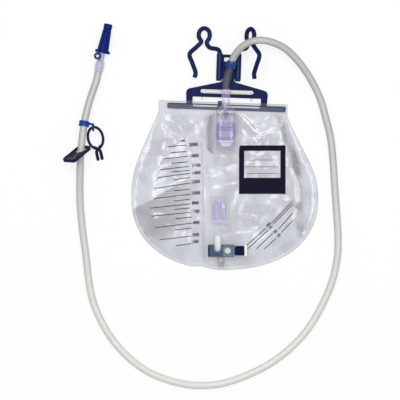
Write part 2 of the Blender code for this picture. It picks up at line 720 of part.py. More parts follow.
def make_hanging_cord():
    """A cord laid in the yoke's slot, its thin ends knotted in the window under the bar."""
    slot_y = YOKE_BAR_Y + YOKE_BAR + SLOT_HEIGHT / 2
    behind = HANGER_Z - PLATE / 2 - GAP - STRING_TAIL
    end_x = SLOT_HALF_LENGTH - STRING - 2 * GAP
    half = [
        (end_x - 2.4 * MM, slot_y, HANGER_Z, STRING),
        (end_x - 0.9 * MM, slot_y - 0.1 * MM, HANGER_Z - 0.9 * MM, 1.2 * MM),
        (end_x - 0.3 * MM, slot_y - 0.6 * MM, behind + 0.5 * MM, STRING_TAIL),
        (end_x, slot_y - 1.8 * MM, behind, STRING_TAIL),
        (end_x, YOKE_BAR_Y, behind, STRING_TAIL),
        (end_x, YOKE_BAR_Y - STRING_KNOT, behind + 0.3 * MM, STRING_TAIL),
        (end_x, YOKE_BAR_Y - STRING_KNOT - 0.3 * MM, behind + 0.9 * MM, STRING_KNOT),
        (end_x, YOKE_BAR_Y - 2.6 * STRING_KNOT, behind + 0.9 * MM, STRING_KNOT),
    ]
    run = half[::-1] + [(-x, y, z, r) for x, y, z, r in half]
    cord = rod("hanging_cord", [p[:3] for p in run], STRING, [p[3] for p in run])
    finish(cord, "hanging_cord", (0.92, 0.92, 0.90), 0.8, parent=HANGER)


def make_tube_clip():
    """A snap clip on a foot, open at the top, seated on the post."""
    bore = TUBE + GAP
    outer = bore + CLIP_WALL
    seat = HANGER_Z + PLATE / 2 + GAP
    drop = CHAMBER_Z - seat
    half_mouth = math.degrees(CLIP_MOUTH) / 2
    jaw = arc(0.0, 0.0, outer, 90 + half_mouth, 450 - half_mouth, 16)
    jaw += arc(0.0, 0.0, bore, 450 - half_mouth, 90 + half_mouth, 16)
    clip = plate("tube_clip", [jaw], CLIP_LENGTH)
    foot_height = drop - bore - CLIP_WALL / 2
    foot = box("clip_foot", (2 * CLIP_FOOT, foot_height, CLIP_LENGTH), (0.0, -drop + foot_height / 2, 0.0))
    foot.parent = clip
    join(clip, foot)
    clip.location = (CLIP_X, CLIP_Y, CHAMBER_Z)
    clip.rotation_euler = (math.radians(90.0), 0.0, CLIP_TURN - HANGER_TILT)
    finish(clip, "tube_clip", (0.02, 0.16, 0.62), 0.3, parent=HANGER)


def make_chamber():
    """Drip chamber: dome with its neck, body, nozzle, one-way valve and welded flange."""
    half, depth = CHAMBER_HALF_WIDTH, CHAMBER_HALF_DEPTH
    band = half + CHAMBER_BAND
    joint = CHAMBER_JOINT_Y
    neck_foot = joint + CHAMBER_SHOULDER
    dome = loft_y("chamber_dome", CHAMBER_X, CHAMBER_Z, [
        (joint + GAP, half, depth, 3.6),
        (joint + CHAMBER_SHOULDER * 0.42, half, depth, 3.2),
        (joint + CHAMBER_SHOULDER * 0.66, half * 0.93, depth, 2.6),
        (joint + CHAMBER_SHOULDER * 0.86, half * 0.74, depth * 0.97, 2.2),
        (neck_foot, CHAMBER_NECK, CHAMBER_NECK, 2.0),
        (neck_foot + 3.0 * MM, CHAMBER_NECK - 0.3 * MM, CHAMBER_NECK - 0.3 * MM, 2.0),
        (CHAMBER_NECK_TOP_Y - 4.0 * MM, CHAMBER_NECK - 0.3 * MM, CHAMBER_NECK - 0.3 * MM, 2.0),
        (CHAMBER_NECK_TOP_Y - 3.4 * MM, CHAMBER_NECK, CHAMBER_NECK, 2.0),
        (CHAMBER_NECK_TOP_Y, CHAMBER_NECK, CHAMBER_NECK, 2.0),
    ])
    shell(dome, CHAMBER_WALL)
    finish(dome, "chamber_dome", (0.72, 0.68, 0.86), 0.1, 0.35)

    body = loft_y("chamber_body", CHAMBER_X, CHAMBER_Z, [
        (CHAMBER_BOTTOM_Y, half * 0.62, depth * 0.66, 3.0),
        (CHAMBER_BOTTOM_Y + 2.4 * MM, half * 0.84, depth * 0.93, 3.2),
        (CHAMBER_BOTTOM_Y + 6.0 * MM, half, depth, 3.6),
        (joint - 28.0 * MM, half, depth, 3.6),
        (joint - 27.4 * MM, band, depth, 3.6),
        (joint - 10.4 * MM, band, depth, 3.6),
        (joint - 9.8 * MM, half, depth, 3.6),
        (joint, half, depth, 3.6),
    ], caps=(True, False))
    shell(body, CHAMBER_WALL)
    through = (CHAMBER_X, OUTLET_HOLE_Y, SEAT + FLANGE_THICK)
    cut(body, cylinder("chamber_outlet", OUTLET_HOLE, 2 * CHAMBER_WALL + 2 * MM, through))
    finish(body, "chamber_body", (0.66, 0.60, 0.84), 0.1, 0.35)

    outer = CHAMBER_NECK - CHAMBER_WALL - 2 * GAP
    tip = outer * 0.55
    profile = [
        (outer, NOZZLE_SEAT), (outer, 0.0), (outer * 0.8, -2.0 * MM),
        (tip, NOZZLE_SEAT - NOZZLE_LENGTH),
        (tip - NOZZLE_WALL * 0.6, NOZZLE_SEAT - NOZZLE_LENGTH),
        (outer * 0.8 - NOZZLE_WALL, -2.0 * MM), (outer - NOZZLE_WALL, 0.0), (outer - NOZZLE_WALL, NOZZLE_SEAT),
    ]
    nozzle = turned("drip_nozzle", profile, 20)
    nozzle.rotation_euler.x = math.radians(-90.0)
    nozzle.location = (CHAMBER_X, neck_foot + 2.0 * MM, CHAMBER_Z)
    finish(nozzle, "drip_nozzle", (0.80, 0.78, 0.90), 0.15, 0.5)

    valve_half = half - CHAMBER_WALL - GAP
    valve_depth = depth - CHAMBER_WALL - GAP
    valve = loft_y("reflux_valve", CHAMBER_X, CHAMBER_Z, [
        (VALVE_Y + VALVE_FLANGE, valve_half, valve_depth, 3.6),
        (VALVE_Y, valve_half, valve_depth, 3.6),
        (VALVE_Y - 0.4 * MM, valve_half * 0.8, valve_depth * 0.7, 3.0),
        (VALVE_Y - VALVE_LIP_HEIGHT, valve_half * 0.5, 0.7 * MM, 3.0),
    ], caps=(True, True))
    slit_size = (valve_half * 0.8, 3 * VALVE_LIP_HEIGHT, 0.5 * MM)
    cut(valve, box("lip_slit", slit_size, (CHAMBER_X, VALVE_Y - 2.0 * MM, CHAMBER_Z)))
    finish(valve, "reflux_valve", (0.60, 0.52, 0.80), 0.3, 0.6)

    middle = (FLANGE_TOP_Y + FLANGE_BOTTOM_Y) / 2
    half_height = (FLANGE_TOP_Y - FLANGE_BOTTOM_Y) / 2
    outline = rounded_box(FLANGE_X, middle, FLANGE_HALF_WIDTH, half_height, FLANGE_CORNER, 6)
    outlet = arc(CHAMBER_X, OUTLET_HOLE_Y, OUTLET_HOLE, 0, 345, 23)
    flange = plate("chamber_flange", [outline, outlet], FLANGE_THICK, SEAT + FLANGE_THICK / 2, 0.35 * MM)
    finish(flange, "chamber_flange", (0.84, 0.83, 0.88), 0.2, 0.4)


def make_vent():
    """Vent on the front film: a welded patch, a moulded two-lobed cover and its filter."""
    foot_y = VENT_TOP_Y - VENT_HEIGHT
    half_height = VENT_HEIGHT / 2 + PATCH_MARGIN
    half_width = VENT_HALF_WIDTH + PATCH_MARGIN
    outline = rounded_box(VENT_X, VENT_TOP_Y - VENT_HEIGHT / 2, half_width, half_height, 3.0 * MM)
    patch = plate("vent_patch", [outline], PATCH_THICK, SEAT + PATCH_THICK / 2)
    finish(patch, "vent_patch", (0.85, 0.86, 0.88), 0.25, 0.35)

    base_z = SEAT + PATCH_THICK + GAP
    arch = arc(VENT_X, VENT_TOP_Y - VENT_HALF_WIDTH, VENT_HALF_WIDTH, 0, 180, 14)
    arch += arc(VENT_X - VENT_HALF_WIDTH + 2 * MM, foot_y + 2 * MM, 2 * MM, 180, 270, 3)
    arch += arc(VENT_X + VENT_HALF_WIDTH - 2 * MM, foot_y + 2 * MM, 2 * MM, 270, 360, 3)
    cover = plate("vent_cover", [arch], VENT_BASE, base_z + VENT_BASE / 2)
    for side in (-1, 1):
        x = VENT_X + side * VENT_HALF_WIDTH * 0.48
        lobe = rounded_box(x, foot_y + VENT_HEIGHT * 0.52, VENT_LOBE, VENT_HEIGHT * 0.37, VENT_LOBE * 0.98, 5)
        lobe_height = VENT_BASE * 0.5 + VENT_LOBE_HEIGHT
        raised = plate("vent_lobe", [lobe], lobe_height, base_z + VENT_BASE * 0.5 + lobe_height / 2, 0.8 * MM)
        join(cover, raised)
    well_z = base_z + VENT_BASE + VENT_LOBE_HEIGHT
    well = (VENT_X + VENT_HALF_WIDTH * 0.48, foot_y + VENT_HEIGHT * 0.66)
    cut(cover, cylinder("vent_well", VENT_DISC + GAP, 2.4 * MM, (*well, well_z), sides=20))
    finish(cover, "vent_cover", (0.70, 0.66, 0.86), 0.15, 0.4)
    disc_z = well_z - 1.2 * MM + GAP + 0.4 * MM
    disc = cylinder("vent_filter", VENT_DISC, 0.8 * MM, (*well, disc_z), sides=20)
    finish(disc, "vent_filter", (0.90, 0.90, 0.92), 0.8)


def make_outlet():
    """Slide valve: body, inlet stub, dial, spout, and a slider with its seal and tip."""
    right_x = VALVE_LEFT_X + VALVE_LENGTH
    centre_x = VALVE_LEFT_X + VALVE_LENGTH / 2
    centre_y = VALVE_TOP_Y - VALVE_HEIGHT / 2
    body = box("valve_body", (VALVE_LENGTH, VALVE_HEIGHT, VALVE_DEPTH), (centre_x, centre_y, VALVE_Z), 1.6 * MM)
    notch_reach = VALVE_TOP_Y - STUB_BOTTOM_Y
    notch = arc(STUB_X, STUB_BOTTOM_Y + STUB, STUB + GAP, 180, 360, 10)
    notch += [(STUB_X + STUB + GAP, STUB_BOTTOM_Y + 2 * notch_reach),
              (STUB_X - STUB - GAP, STUB_BOTTOM_Y + 2 * notch_reach)]
    cut(body, plate("stub_notch", [notch], 2 * VALVE_DEPTH, VALVE_Z))
    stem_room = SLIDER_STEM_LENGTH + GAP
    bore_at = (right_x - stem_room / 2 + 5.0 * MM, SLIDER_Y, VALVE_Z)
    cut(body, cylinder("stem_bore", SLIDER_STEM + GAP, stem_room + 10.0 * MM, bore_at, "x", 20))
    top = VALVE_Z + VALVE_DEPTH / 2
    cut(body, cylinder("dial_seat", DIAL + GAP, 1.2 * MM, (DIAL_X, SLIDER_Y, top), sides=24))
    foot_y = VALVE_TOP_Y - VALVE_HEIGHT
    cut(body, cylinder("spout_bore", SPOUT_BORE, 8.0 * MM, (SPOUT_X, foot_y, VALVE_Z), "y", 16))
    finish(body, "valve_body", (0.25, 0.35, 0.48), 0.25)

    stub_length = STUB_TOP_Y - STUB_BOTTOM_Y
    stub_middle = STUB_BOTTOM_Y + stub_length / 2
    stub_outline = rounded_box(STUB_X, stub_middle, STUB, stub_length / 2, STUB - 0.1 * MM, 6)
    stub_height = VALVE_DEPTH * 0.8
    stub = plate("inlet_stub", [stub_outline], stub_height, SEAT + stub_height / 2, 1.4 * MM)
    cut(stub, cylinder("stub_way", STUB * 0.45, stub_height, (STUB_X, STUB_TOP_Y - STUB, SEAT), sides=16))
    finish(stub, "inlet_stub", (0.86, 0.87, 0.82), 0.3)

    dial_z = top - 0.6 * MM + GAP + DIAL_THICK / 2
    dial = cylinder("valve_dial", DIAL, DIAL_THICK, (DIAL_X, SLIDER_Y, dial_z), sides=24)
    cut(dial, box("dial_slot", (DIAL * 1.2, 0.9 * MM, 1.2 * MM), (DIAL_X, SLIDER_Y, dial_z + DIAL_THICK / 2)))
    finish(dial, "valve_dial", (0.88, 0.84, 0.76), 0.4)

    spout = turned("outlet_spout", [
        (SPOUT_TOP, 0.0), (SPOUT_TOP, -1.6 * MM), (SPOUT_TOP * 0.92, -2.4 * MM),
        (SPOUT_END, -SPOUT_LENGTH), (SPOUT_BORE, -SPOUT_LENGTH), (SPOUT_BORE, 0.0),
    ], 24)
    spout.rotation_euler.x = math.radians(-90.0)
    spout.location = (SPOUT_X, foot_y - GAP, VALVE_Z)
    finish(spout, "outlet_spout", (0.84, 0.80, 0.74), 0.35)

    block_x = right_x + GAP + SLIDER_BLOCK / 2
    slider = box("valve_slider", (SLIDER_BLOCK, SLIDER_BLOCK_HEIGHT, SLIDER_BLOCK_DEPTH),
                 (block_x, SLIDER_Y, VALVE_Z), 1.0 * MM)
    stem_length = SLIDER_STEM_LENGTH + 2.0 * MM
    stem_at = (right_x + 2.0 * MM - stem_length / 2, SLIDER_Y, VALVE_Z)
    stem = cylinder("stem", SLIDER_STEM, stem_length, stem_at, "x", 20)
    join(slider, stem)
    groove_x = right_x - SLIDER_STEM_LENGTH + 3.0 * MM
    groove = turned("seal_groove", [
        (SLIDER_STEM * 2, SEAL_WIDTH / 2 + GAP), (SLIDER_STEM * 2, -SEAL_WIDTH / 2 - GAP),
        (SLIDER_STEM - SEAL_THICK - GAP, -SEAL_WIDTH / 2 - GAP),
        (SLIDER_STEM - SEAL_THICK - GAP, SEAL_WIDTH / 2 + GAP),
    ], 20)
    groove.rotation_euler.y = math.radians(90.0)
    groove.location = (groove_x, SLIDER_Y, VALVE_Z)
    cut(slider, groove)
    finish(slider, "valve_slider", (0.04, 0.05, 0.24), 0.3)

    seal = turned("slider_seal", [
        (SLIDER_STEM, SEAL_WIDTH / 2), (SLIDER_STEM, -SEAL_WIDTH / 2),
        (SLIDER_STEM - SEAL_THICK, -SEAL_WIDTH / 2), (SLIDER_STEM - SEAL_THICK, SEAL_WIDTH / 2),
    ], 20)
    seal.rotation_euler.y = math.radians(90.0)
    seal.location = (groove_x, SLIDER_Y, VALVE_Z)
    finish(seal, "slider_seal", (0.08, 0.08, 0.09), 0.7)

    tip_x = block_x + SLIDER_BLOCK / 2 + GAP + SLIDER_TIP / 2
    tip_size = (SLIDER_TIP, SLIDER_TIP_HEIGHT, SLIDER_BLOCK_DEPTH)
    tip = box("slider_tip", tip_size, (tip_x, SLIDER_Y, VALVE_Z), 0.8 * MM)
    finish(tip, "slider_tip", (0.93, 0.94, 0.93), 0.3)


def make_tube():
    route = [tuple(value * MM for value in point) for point in ROUTE_MM]
    tube = rod("drainage_tube", smooth_path(route, ROUTE_STEP), TUBE, resolution=2)
    finish(tube, "drainage_tube", (0.76, 0.76, 0.74), 0.25, 0.6)


def make_end():
    """Sample port, adapter and cap, built along Y and leaned with the tube's end."""
    place_end = bpy.data.objects.new("end_place", None)
    PARTS.objects.link(place_end)
    place_end.location = (END_X, END_Y, END_Z)
    place_end.rotation_euler.z = END_LEAN

    port = turned("port_connector", [
        (PORT_BODY, PORT_BODY_LENGTH), (PORT_BODY * 1.02, PORT_BODY_LENGTH - 1.0 * MM), (PORT_BODY * 0.96, GAP),
        (TUBE_BORE, GAP), (TUBE_BORE, PORT_LENGTH - 8.0 * MM), (ADAPTER_ROOT * 0.66, PORT_LENGTH),
        (PORT_NECK, PORT_LENGTH), (PORT_NECK, PORT_BODY_LENGTH + 3.0 * MM),
    ], 28)
    port.rotation_euler.x = math.radians(-90.0)
    boss_foot = PORT_NECK - 0.6 * MM
    boss_length = PORT_BOSS_TOP + boss_foot
    boss_at = (-PORT_BOSS_SIDE, PORT_BOSS_ALONG, PORT_BOSS_TOP - boss_length / 2)
    boss = cylinder("port_boss", PORT_BOSS, boss_length, boss_at)
    boss.parent = place_end
    join(port, boss)
    finish(port, "port_connector", (0.80, 0.81, 0.85), 0.15, 0.5, place_end)

    collar = turned("port_collar", [
        (COLLAR, COLLAR_THICK), (COLLAR, 0.0), (COLLAR_BORE, 0.0), (COLLAR_BORE, COLLAR_THICK),
    ], 24)
    collar.location = (-PORT_BOSS_SIDE, PORT_BOSS_ALONG, PORT_BOSS_TOP + GAP)
    finish(collar, "port_collar", (0.03, 0.05, 0.40), 0.35, parent=place_end)
    septum_at = (-PORT_BOSS_SIDE, PORT_BOSS_ALONG, PORT_BOSS_TOP + GAP + COLLAR_THICK * 0.45)
    septum = cylinder("port_septum", COLLAR_BORE - GAP, COLLAR_THICK * 0.9, septum_at, sides=20)
    finish(septum, "port_septum", (0.78, 0.86, 0.87), 0.5, parent=place_end)

    root = PORT_LENGTH + GAP
    adapter = turned("catheter_adapter", [
        (ADAPTER_TIP, root + ADAPTER_LENGTH), (ADAPTER_ROOT * 0.92, root + 12.0 * MM),
        (ADAPTER_ROOT, root + 11.4 * MM), (ADAPTER_ROOT, root),
        (ADAPTER_BORE, root), (ADAPTER_BORE, root + ADAPTER_LENGTH),
    ], 24)
    adapter.rotation_euler.x = math.radians(-90.0)
    finish(adapter, "catheter_adapter", (0.85, 0.86, 0.88), 0.2, 0.6, place_end)

    cap_root = root + 0.5 * MM
    inner_root = ADAPTER_ROOT + 2 * GAP
    inner_top = ADAPTER_TIP + 2 * GAP
    depth = ADAPTER_LENGTH + 1.0 * MM
    cap = turned("protective_cap", [
        (0.0, cap_root + CAP_LENGTH), (CAP_TOP * 0.8, cap_root + CAP_LENGTH),
        (CAP_TOP, cap_root + CAP_LENGTH - 1.0 * MM), (CAP_TOP * 1.03, cap_root + CAP_LENGTH - 6.0 * MM),
        (CAP_TOP * 0.94, cap_root + CAP_LENGTH - 7.2 * MM),
        (CAP_ROOT, cap_root + CAP_EAR_HEIGHT), (CAP_ROOT, cap_root),
        (inner_root, cap_root), (inner_root, cap_root + 13.0 * MM),
        (inner_top, cap_root + depth), (0.0, cap_root + depth),
    ], 28)
    cap.rotation_euler.x = math.radians(-90.0)
    ear_root = CAP_ROOT - CAP_WALL * 0.6
    for side in (-1, 1):
        ear_at = (side * (ear_root + CAP_EAR_REACH) / 2, cap_root + CAP_EAR_HEIGHT / 2, 0.0)
        ear = box("cap_ear", (CAP_EAR_REACH - ear_root, CAP_EAR_HEIGHT - 0.4 * MM, CAP_EAR_THICK), ear_at)
        ear.parent = place_end
        join(cap, ear)
    finish(cap, "protective_cap", (0.05, 0.09, 0.50), 0.35, parent=place_end)


def make_slide_clamp():
    """A ribbed plate with a keyhole, threaded on the tube and standing on one corner."""
    along = CLAMP_ALONG.normalized()
    normal = along.cross(CLAMP_ACROSS).normalized()
    across = normal.cross(along)
    turn = Matrix((along, across, normal)).transposed().to_4x4()
    middle = CLAMP_LENGTH / 2 - CLAMP_EYE_IN
    outline = rounded_box(middle, 0.0, CLAMP_LENGTH / 2, CLAMP_WIDTH / 2, 3.0 * MM)
    half_slot = CLAMP_SLOT / 2
    mouth = math.degrees(math.asin(half_slot / CLAMP_EYE))
    keyhole = arc(0.0, 0.0, CLAMP_EYE, mouth, 360 - mouth, 24)
    keyhole += arc(CLAMP_SLOT_LENGTH, 0.0, half_slot, -90, 90, 6)
    depth = CLAMP_THICK + 2 * CLAMP_RIM_HEIGHT
    clamp = plate("slide_clamp", [outline, keyhole], depth)
    pocket = rounded_box(middle, 0.0, CLAMP_LENGTH / 2 - CLAMP_RIM, CLAMP_WIDTH / 2 - CLAMP_RIM, 1.6 * MM)
    for side in (-1, 1):
        hollow = plate("clamp_pocket", [pocket], depth, side * (CLAMP_THICK + depth) / 2)
        hollow.parent = clamp
        cut(clamp, hollow)
    ribs_from = CLAMP_SLOT_LENGTH * 0.42
    for index in range(4):
        x = ribs_from + index * 3.4 * MM
        for side in (-1, 1):
            y = side * (half_slot + 1.6 * MM + (CLAMP_WIDTH / 2 - CLAMP_RIM - half_slot) / 2 - 0.4 * MM)
            rib = box("clamp_rib", (1.2 * MM, 4.4 * MM, CLAMP_THICK + 1.2 * MM), (x, y, 0.0))
            rib.parent = clamp
            join(clamp, rib)
    clamp.matrix_world = Matrix.Translation((CLAMP_X, CLAMP_Y, CLAMP_Z)) @ turn
    finish(clamp, "slide_clamp", (0.05, 0.06, 0.16), 0.35)


def ring_place():
    """Middle of the sheet clip's ring and the turn that lays it with its top raised."""
    turn = Matrix.Rotation(RING_TURN, 4, 'Z') @ Matrix.Rotation(RING_PITCH, 4, 'X')
    foot = RING_HALF_HEIGHT + PRONG_LENGTH * 0.9
    lift = PRONG + 0.4 * MM + foot * math.sin(RING_PITCH)
    return Matrix.Translation((RING_X, RING_Y, lift)) @ turn


def make_sheet_clip():
    """An oval spring ring whose ends cross and run out as two gripping prongs."""
    count = 36
    ring = [(RING_HALF_WIDTH * math.cos(2 * math.pi * i / count),
             RING_HALF_HEIGHT * math.sin(2 * math.pi * i / count), 0.0) for i in range(count)]
    clip = to_mesh(rod("sheet_clip", ring, RING_WIRE, resolution=3, closed=True))
    foot = -RING_HALF_HEIGHT
    for side in (-1, 1):
        start = smooth_path([
            (side * RING_HALF_WIDTH * 0.55, foot + 3.0 * MM, 0.0),
            (side * RING_HALF_WIDTH * 0.18, foot + 0.2 * MM, 0.0),
            (-side * PRONG_SPREAD * 0.8, foot - 3.4 * MM, 0.0),
            (-side * PRONG_SPREAD, foot - PRONG_LENGTH * 0.5, 0.0),
            (-side * PRONG_SPREAD, foot - PRONG_LENGTH, 0.0),
        ], 2.6 * MM)
        prong = to_mesh(rod("prong", start, PRONG, resolution=3))
        prong.parent = clip
        join(clip, prong)
    clip.matrix_world = ring_place()
    finish(clip, "sheet_clip", (0.05, 0.07, 0.20), 0.3)


def make_tube_band():
    """A band round the tube with an eye that holds the sheet clip by its ring."""
    bore = TUBE + BAND_PLAY
    outer = bore + BAND_WALL
    band = turned("tube_band", [
        (outer, BAND_LENGTH / 2), (outer, 0.6 * MM), (outer - 0.6 * MM, 0.0), (outer, -0.6 * MM),
        (outer, -BAND_LENGTH / 2), (bore, -BAND_LENGTH / 2), (bore, BAND_LENGTH / 2),
    ], 28)
    band.location = (BAND_X, BAND_Y, BAND_Z)
    band.rotation_euler = BAND_ALONG.to_track_quat('Z', 'Y').to_euler()
    top = ring_place() @ Vector((0.0, RING_HALF_HEIGHT, 0.0))
    eye_radius = RING_WIRE + BAND_EYE_PLAY + BAND_EYE_WIRE
    count = 20
    circle = [(top.x, top.y + eye_radius * math.cos(2 * math.pi * i / count),
               top.z + eye_radius * math.sin(2 * math.pi * i / count)) for i in range(count)]
    eye = to_mesh(rod("band_eye", circle, BAND_EYE_WIRE, closed=True))
    join(band, eye)
    centre = Vector((BAND_X, BAND_Y, BAND_Z))
    start = centre + Vector((outer - BAND_WALL / 2, 0.0, 0.0))
    link = to_mesh(rod("band_link", [start, (top.x, top.y + eye_radius, top.z + 0.5 * MM)], BAND_EYE_WIRE))
    join(band, link)
    finish(band, "tube_band", (0.02, 0.12, 0.66), 0.4)


make_back_film()
make_front_film()
make_hanger_frame()
make_hook("left_hook", -1, 0.0)
make_hook("right_hook", 1, RIGHT_HOOK_RAISE)
make_hanging_cord()
make_tube_clip()
make_chamber()
make_vent()
make_outlet()
make_tube()
make_end()
make_slide_clamp()
make_sheet_clip()
make_tube_band()
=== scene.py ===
"""Looks of a urine drainage bag that lies on its back on a white table, seen from straight above.

Sizes and places are in millimetres, and each mesh, matrix and node takes them as metres.
"""
import math

import bmesh
import bpy
import numpy as np
from mathutils import Matrix, Vector


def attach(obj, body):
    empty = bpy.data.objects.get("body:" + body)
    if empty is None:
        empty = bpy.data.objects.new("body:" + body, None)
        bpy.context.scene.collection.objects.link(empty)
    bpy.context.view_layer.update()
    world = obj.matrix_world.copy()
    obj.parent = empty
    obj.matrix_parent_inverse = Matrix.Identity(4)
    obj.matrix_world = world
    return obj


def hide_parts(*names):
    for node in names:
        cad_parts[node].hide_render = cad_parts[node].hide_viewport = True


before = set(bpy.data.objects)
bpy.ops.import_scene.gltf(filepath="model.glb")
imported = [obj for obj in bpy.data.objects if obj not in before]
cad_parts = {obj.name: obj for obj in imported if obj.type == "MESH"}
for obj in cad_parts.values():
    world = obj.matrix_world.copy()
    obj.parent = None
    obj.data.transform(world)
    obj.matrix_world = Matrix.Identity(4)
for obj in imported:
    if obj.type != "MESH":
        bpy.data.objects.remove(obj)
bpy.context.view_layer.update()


# Camera, lamps and table. The bag was photographed flat from straight above with a long lens,
# under broad soft light, on white that shows almost no shadow.
mm = 0.001
view_centre = (-33.0, -68.8)
view_width = 530.0
view_level = 8.0
lens = 200.0
sensor = 36.0
lamp_aim = (0.0, -50.0, 0.0)
table_size = 6000.0
table_gap = 0.3
shade_kept = 0.22


def metres(*values):
    """Numbers given in millimetres, as metres."""
    return [value * mm for value in values]


def add_object(name, data):
    """A new object of the scene."""
    obj = bpy.data.objects.new(name, data)
    bpy.context.scene.collection.objects.link(obj)
    return obj


camera = add_object("camera", bpy.data.cameras.new("camera"))
camera.data.lens = lens
camera.data.sensor_width = sensor
camera.data.clip_end = 20.0
camera.location = metres(*view_centre, view_width * lens / sensor + view_level)
bpy.context.scene.camera = camera
bpy.context.scene.view_settings.view_transform = 'Standard'

for name, energy, size, place in (("softbox_left", 20.0, 1000.0, (-550.0, 500.0, 2200.0)),
                                  ("softbox_right", 11.0, 800.0, (700.0, 100.0, 2000.0))):
    lamp = add_object(name, bpy.data.lights.new(name, 'AREA'))
    lamp.data.energy = energy
    lamp.data.size = size * mm
    lamp.location = metres(*place)
    lamp.rotation_euler = (Vector(lamp_aim) - Vector(place)).to_track_quat('-Z', 'Y').to_euler()


class Value:
    """A number or colour that varies over a surface, with Python's operators adding Math nodes."""

    def __init__(self, finish, socket):
        self.finish = finish
        self.socket = socket

    def math(self, operation, *terms):
        return self.finish.node("ShaderNodeMath", {"operation": operation}, dict(enumerate(terms)))

    def __add__(self, other):
        return self.math('ADD', self, other)

    __radd__ = __add__

    def __sub__(self, other):
        return self.math('SUBTRACT', self, other)

    def __rsub__(self, other):
        return self.math('SUBTRACT', other, self)

    def __mul__(self, other):
        return self.math('MULTIPLY', self, other)

    __rmul__ = __mul__

    def __pow__(self, other):
        return self.math('POWER', self, other)

    def __abs__(self):
        return self.math('ABSOLUTE', self)

    def at_least(self, other):
        return self.math('MAXIMUM', self, other)

    def at_most(self, other):
        return self.math('MINIMUM', self, other)

    def wave(self):
        return self.math('SINE', self)

    def rise(self, low, high):
        """0 below low, 1 above high, and smooth between."""
        sockets = {"Value": self, "From Min": low, "From Max": high}
        return self.finish.node("ShaderNodeMapRange", {"interpolation_type": 'SMOOTHSTEP'}, sockets)

    def fall(self, low, high):
        """1 below low, 0 above high, and smooth between."""
        return 1.0 - self.rise(low, high)

    def between(self, low, full, fading, high):
        """0 outside low and high, and 1 from full to fading."""
        return self.rise(low, full) * self.fall(fading, high)

    def mix(self, first, second):
        """The first colour where this is 0 and the second where it is 1."""
        return self.finish.node("ShaderNodeMix", {"data_type": 'RGBA'}, {0: self, 6: first, 7: second}, 2)


class Finish:
    """One material: a Principled shader with constants, and the nodes that vary it."""

    def __init__(self, name, **constants):
        self.material = bpy.data.materials.new(name)
        self.material.use_nodes = True
        self.tree = self.material.node_tree
        self.shader = self.tree.nodes["Principled BSDF"]
        for socket, value in constants.items():
            self.set(socket.replace("_", " ").title().replace("Ior", "IOR"), value)

    def give(self, socket, value):
        """Link a socket to a Value, or set it to a number, a vector or a colour without alpha."""
        if isinstance(value, Value):
            self.tree.links.new(value.socket, socket)
        else:
            socket.default_value = (*value, 1.0) if socket.type == 'RGBA' else value

    def set(self, socket, value):
        self.give(self.shader.inputs[socket], value)

    def node(self, kind, settings, sockets, out=0):
        """Add a node: its settings first, then the values or links of its sockets."""
        node = self.tree.nodes.new(kind)
        for name, value in settings.items():
            setattr(node, name, value)
        for name, value in sockets.items():
            self.give(node.inputs[name], value)
        return Value(self, node.outputs[out])

    def place(self, stretch=(1.0, 1.0, 1.0), turn=0.0):
        """Object coordinates in metres, turned about Z by degrees and stretched."""
        place = self.node("ShaderNodeTexCoord", {}, {}, "Object")
        sockets = {"Vector": place, "Rotation": (0.0, 0.0, math.radians(turn)), "Scale": stretch}
        return self.node("ShaderNodeMapping", {}, sockets)

    def axes(self):
        """Object coordinates in millimetres, as three numbers."""
        place = {"Vector": self.node("ShaderNodeTexCoord", {}, {}, "Object")}
        return [self.node("ShaderNodeSeparateXYZ", {}, place, axis) * (1.0 / mm) for axis in "XYZ"]

    def noise(self, size, detail=3.0, stretch=(1.0, 1.0, 1.0)):
        """Soft noise from 0 to 1 whose patches are about that size."""
        sockets = {"Vector": self.place(stretch), "Scale": 1.0 / (size * mm), "Detail": detail}
        return self.node("ShaderNodeTexNoise", {}, sockets)

    def edge_on(self, power):
        """0 where a clear wall faces the eye, growing to 1 where it is seen edge on."""
        return self.node("ShaderNodeLayerWeight", {}, {"Blend": 0.5}, "Facing") ** power

    def mottle(self, size, low, high):
        """Vary the colour between two tones in patches of about that size."""
        self.set("Base Color", self.noise(size).mix(low, high))
        return self

    def bump(self, height, depth):
        """Raise the surface by height, from 0 to 1, times depth."""
        self.set("Normal", self.node("ShaderNodeBump", {}, {"Height": height, "Distance": depth * mm}))

    def grain(self, size, depth):
        """Roughen the surface with bumps of about that size and depth."""
        self.bump(self.noise(size, 2.0), depth)
        return self

    def on(self, *objects):
        for obj in objects:
            obj.data.materials.clear()
            obj.data.materials.append(self.material)


# the table is plain white to rays that see it straight or by reflection, apart from a soft shade
table_finish = Finish("white_table", base_color=(0.92, 0.92, 0.92), roughness=0.9)
seen = table_finish.node("ShaderNodeLightPath", {}, {}, "Is Camera Ray")
for ray in ("Is Glossy Ray", "Is Transmission Ray"):
    seen = seen.at_least(table_finish.node("ShaderNodeLightPath", {}, {}, ray))
lit = Value(table_finish, table_finish.shader.outputs[0])
white = table_finish.node("ShaderNodeEmission", {}, {})
shown = table_finish.node("ShaderNodeMixShader", {}, {0: seen * (1.0 - shade_kept), 1: lit, 2: white})
table_finish.give(table_finish.tree.nodes["Material Output"].inputs["Surface"], shown)
bpy.ops.mesh.primitive_plane_add(size=table_size * mm, location=metres(*view_centre, -table_gap))
table = bpy.context.object
table.name = "table"
table_finish.on(table)

world = bpy.data.worlds.new("studio")
world.use_nodes = True
bpy.context.scene.world = world
world_light = world.node_tree.nodes["Background"]
world_light.inputs["Color"].default_value = (1.0, 1.0, 1.0, 1.0)
world_light.inputs["Strength"].default_value = 0.52


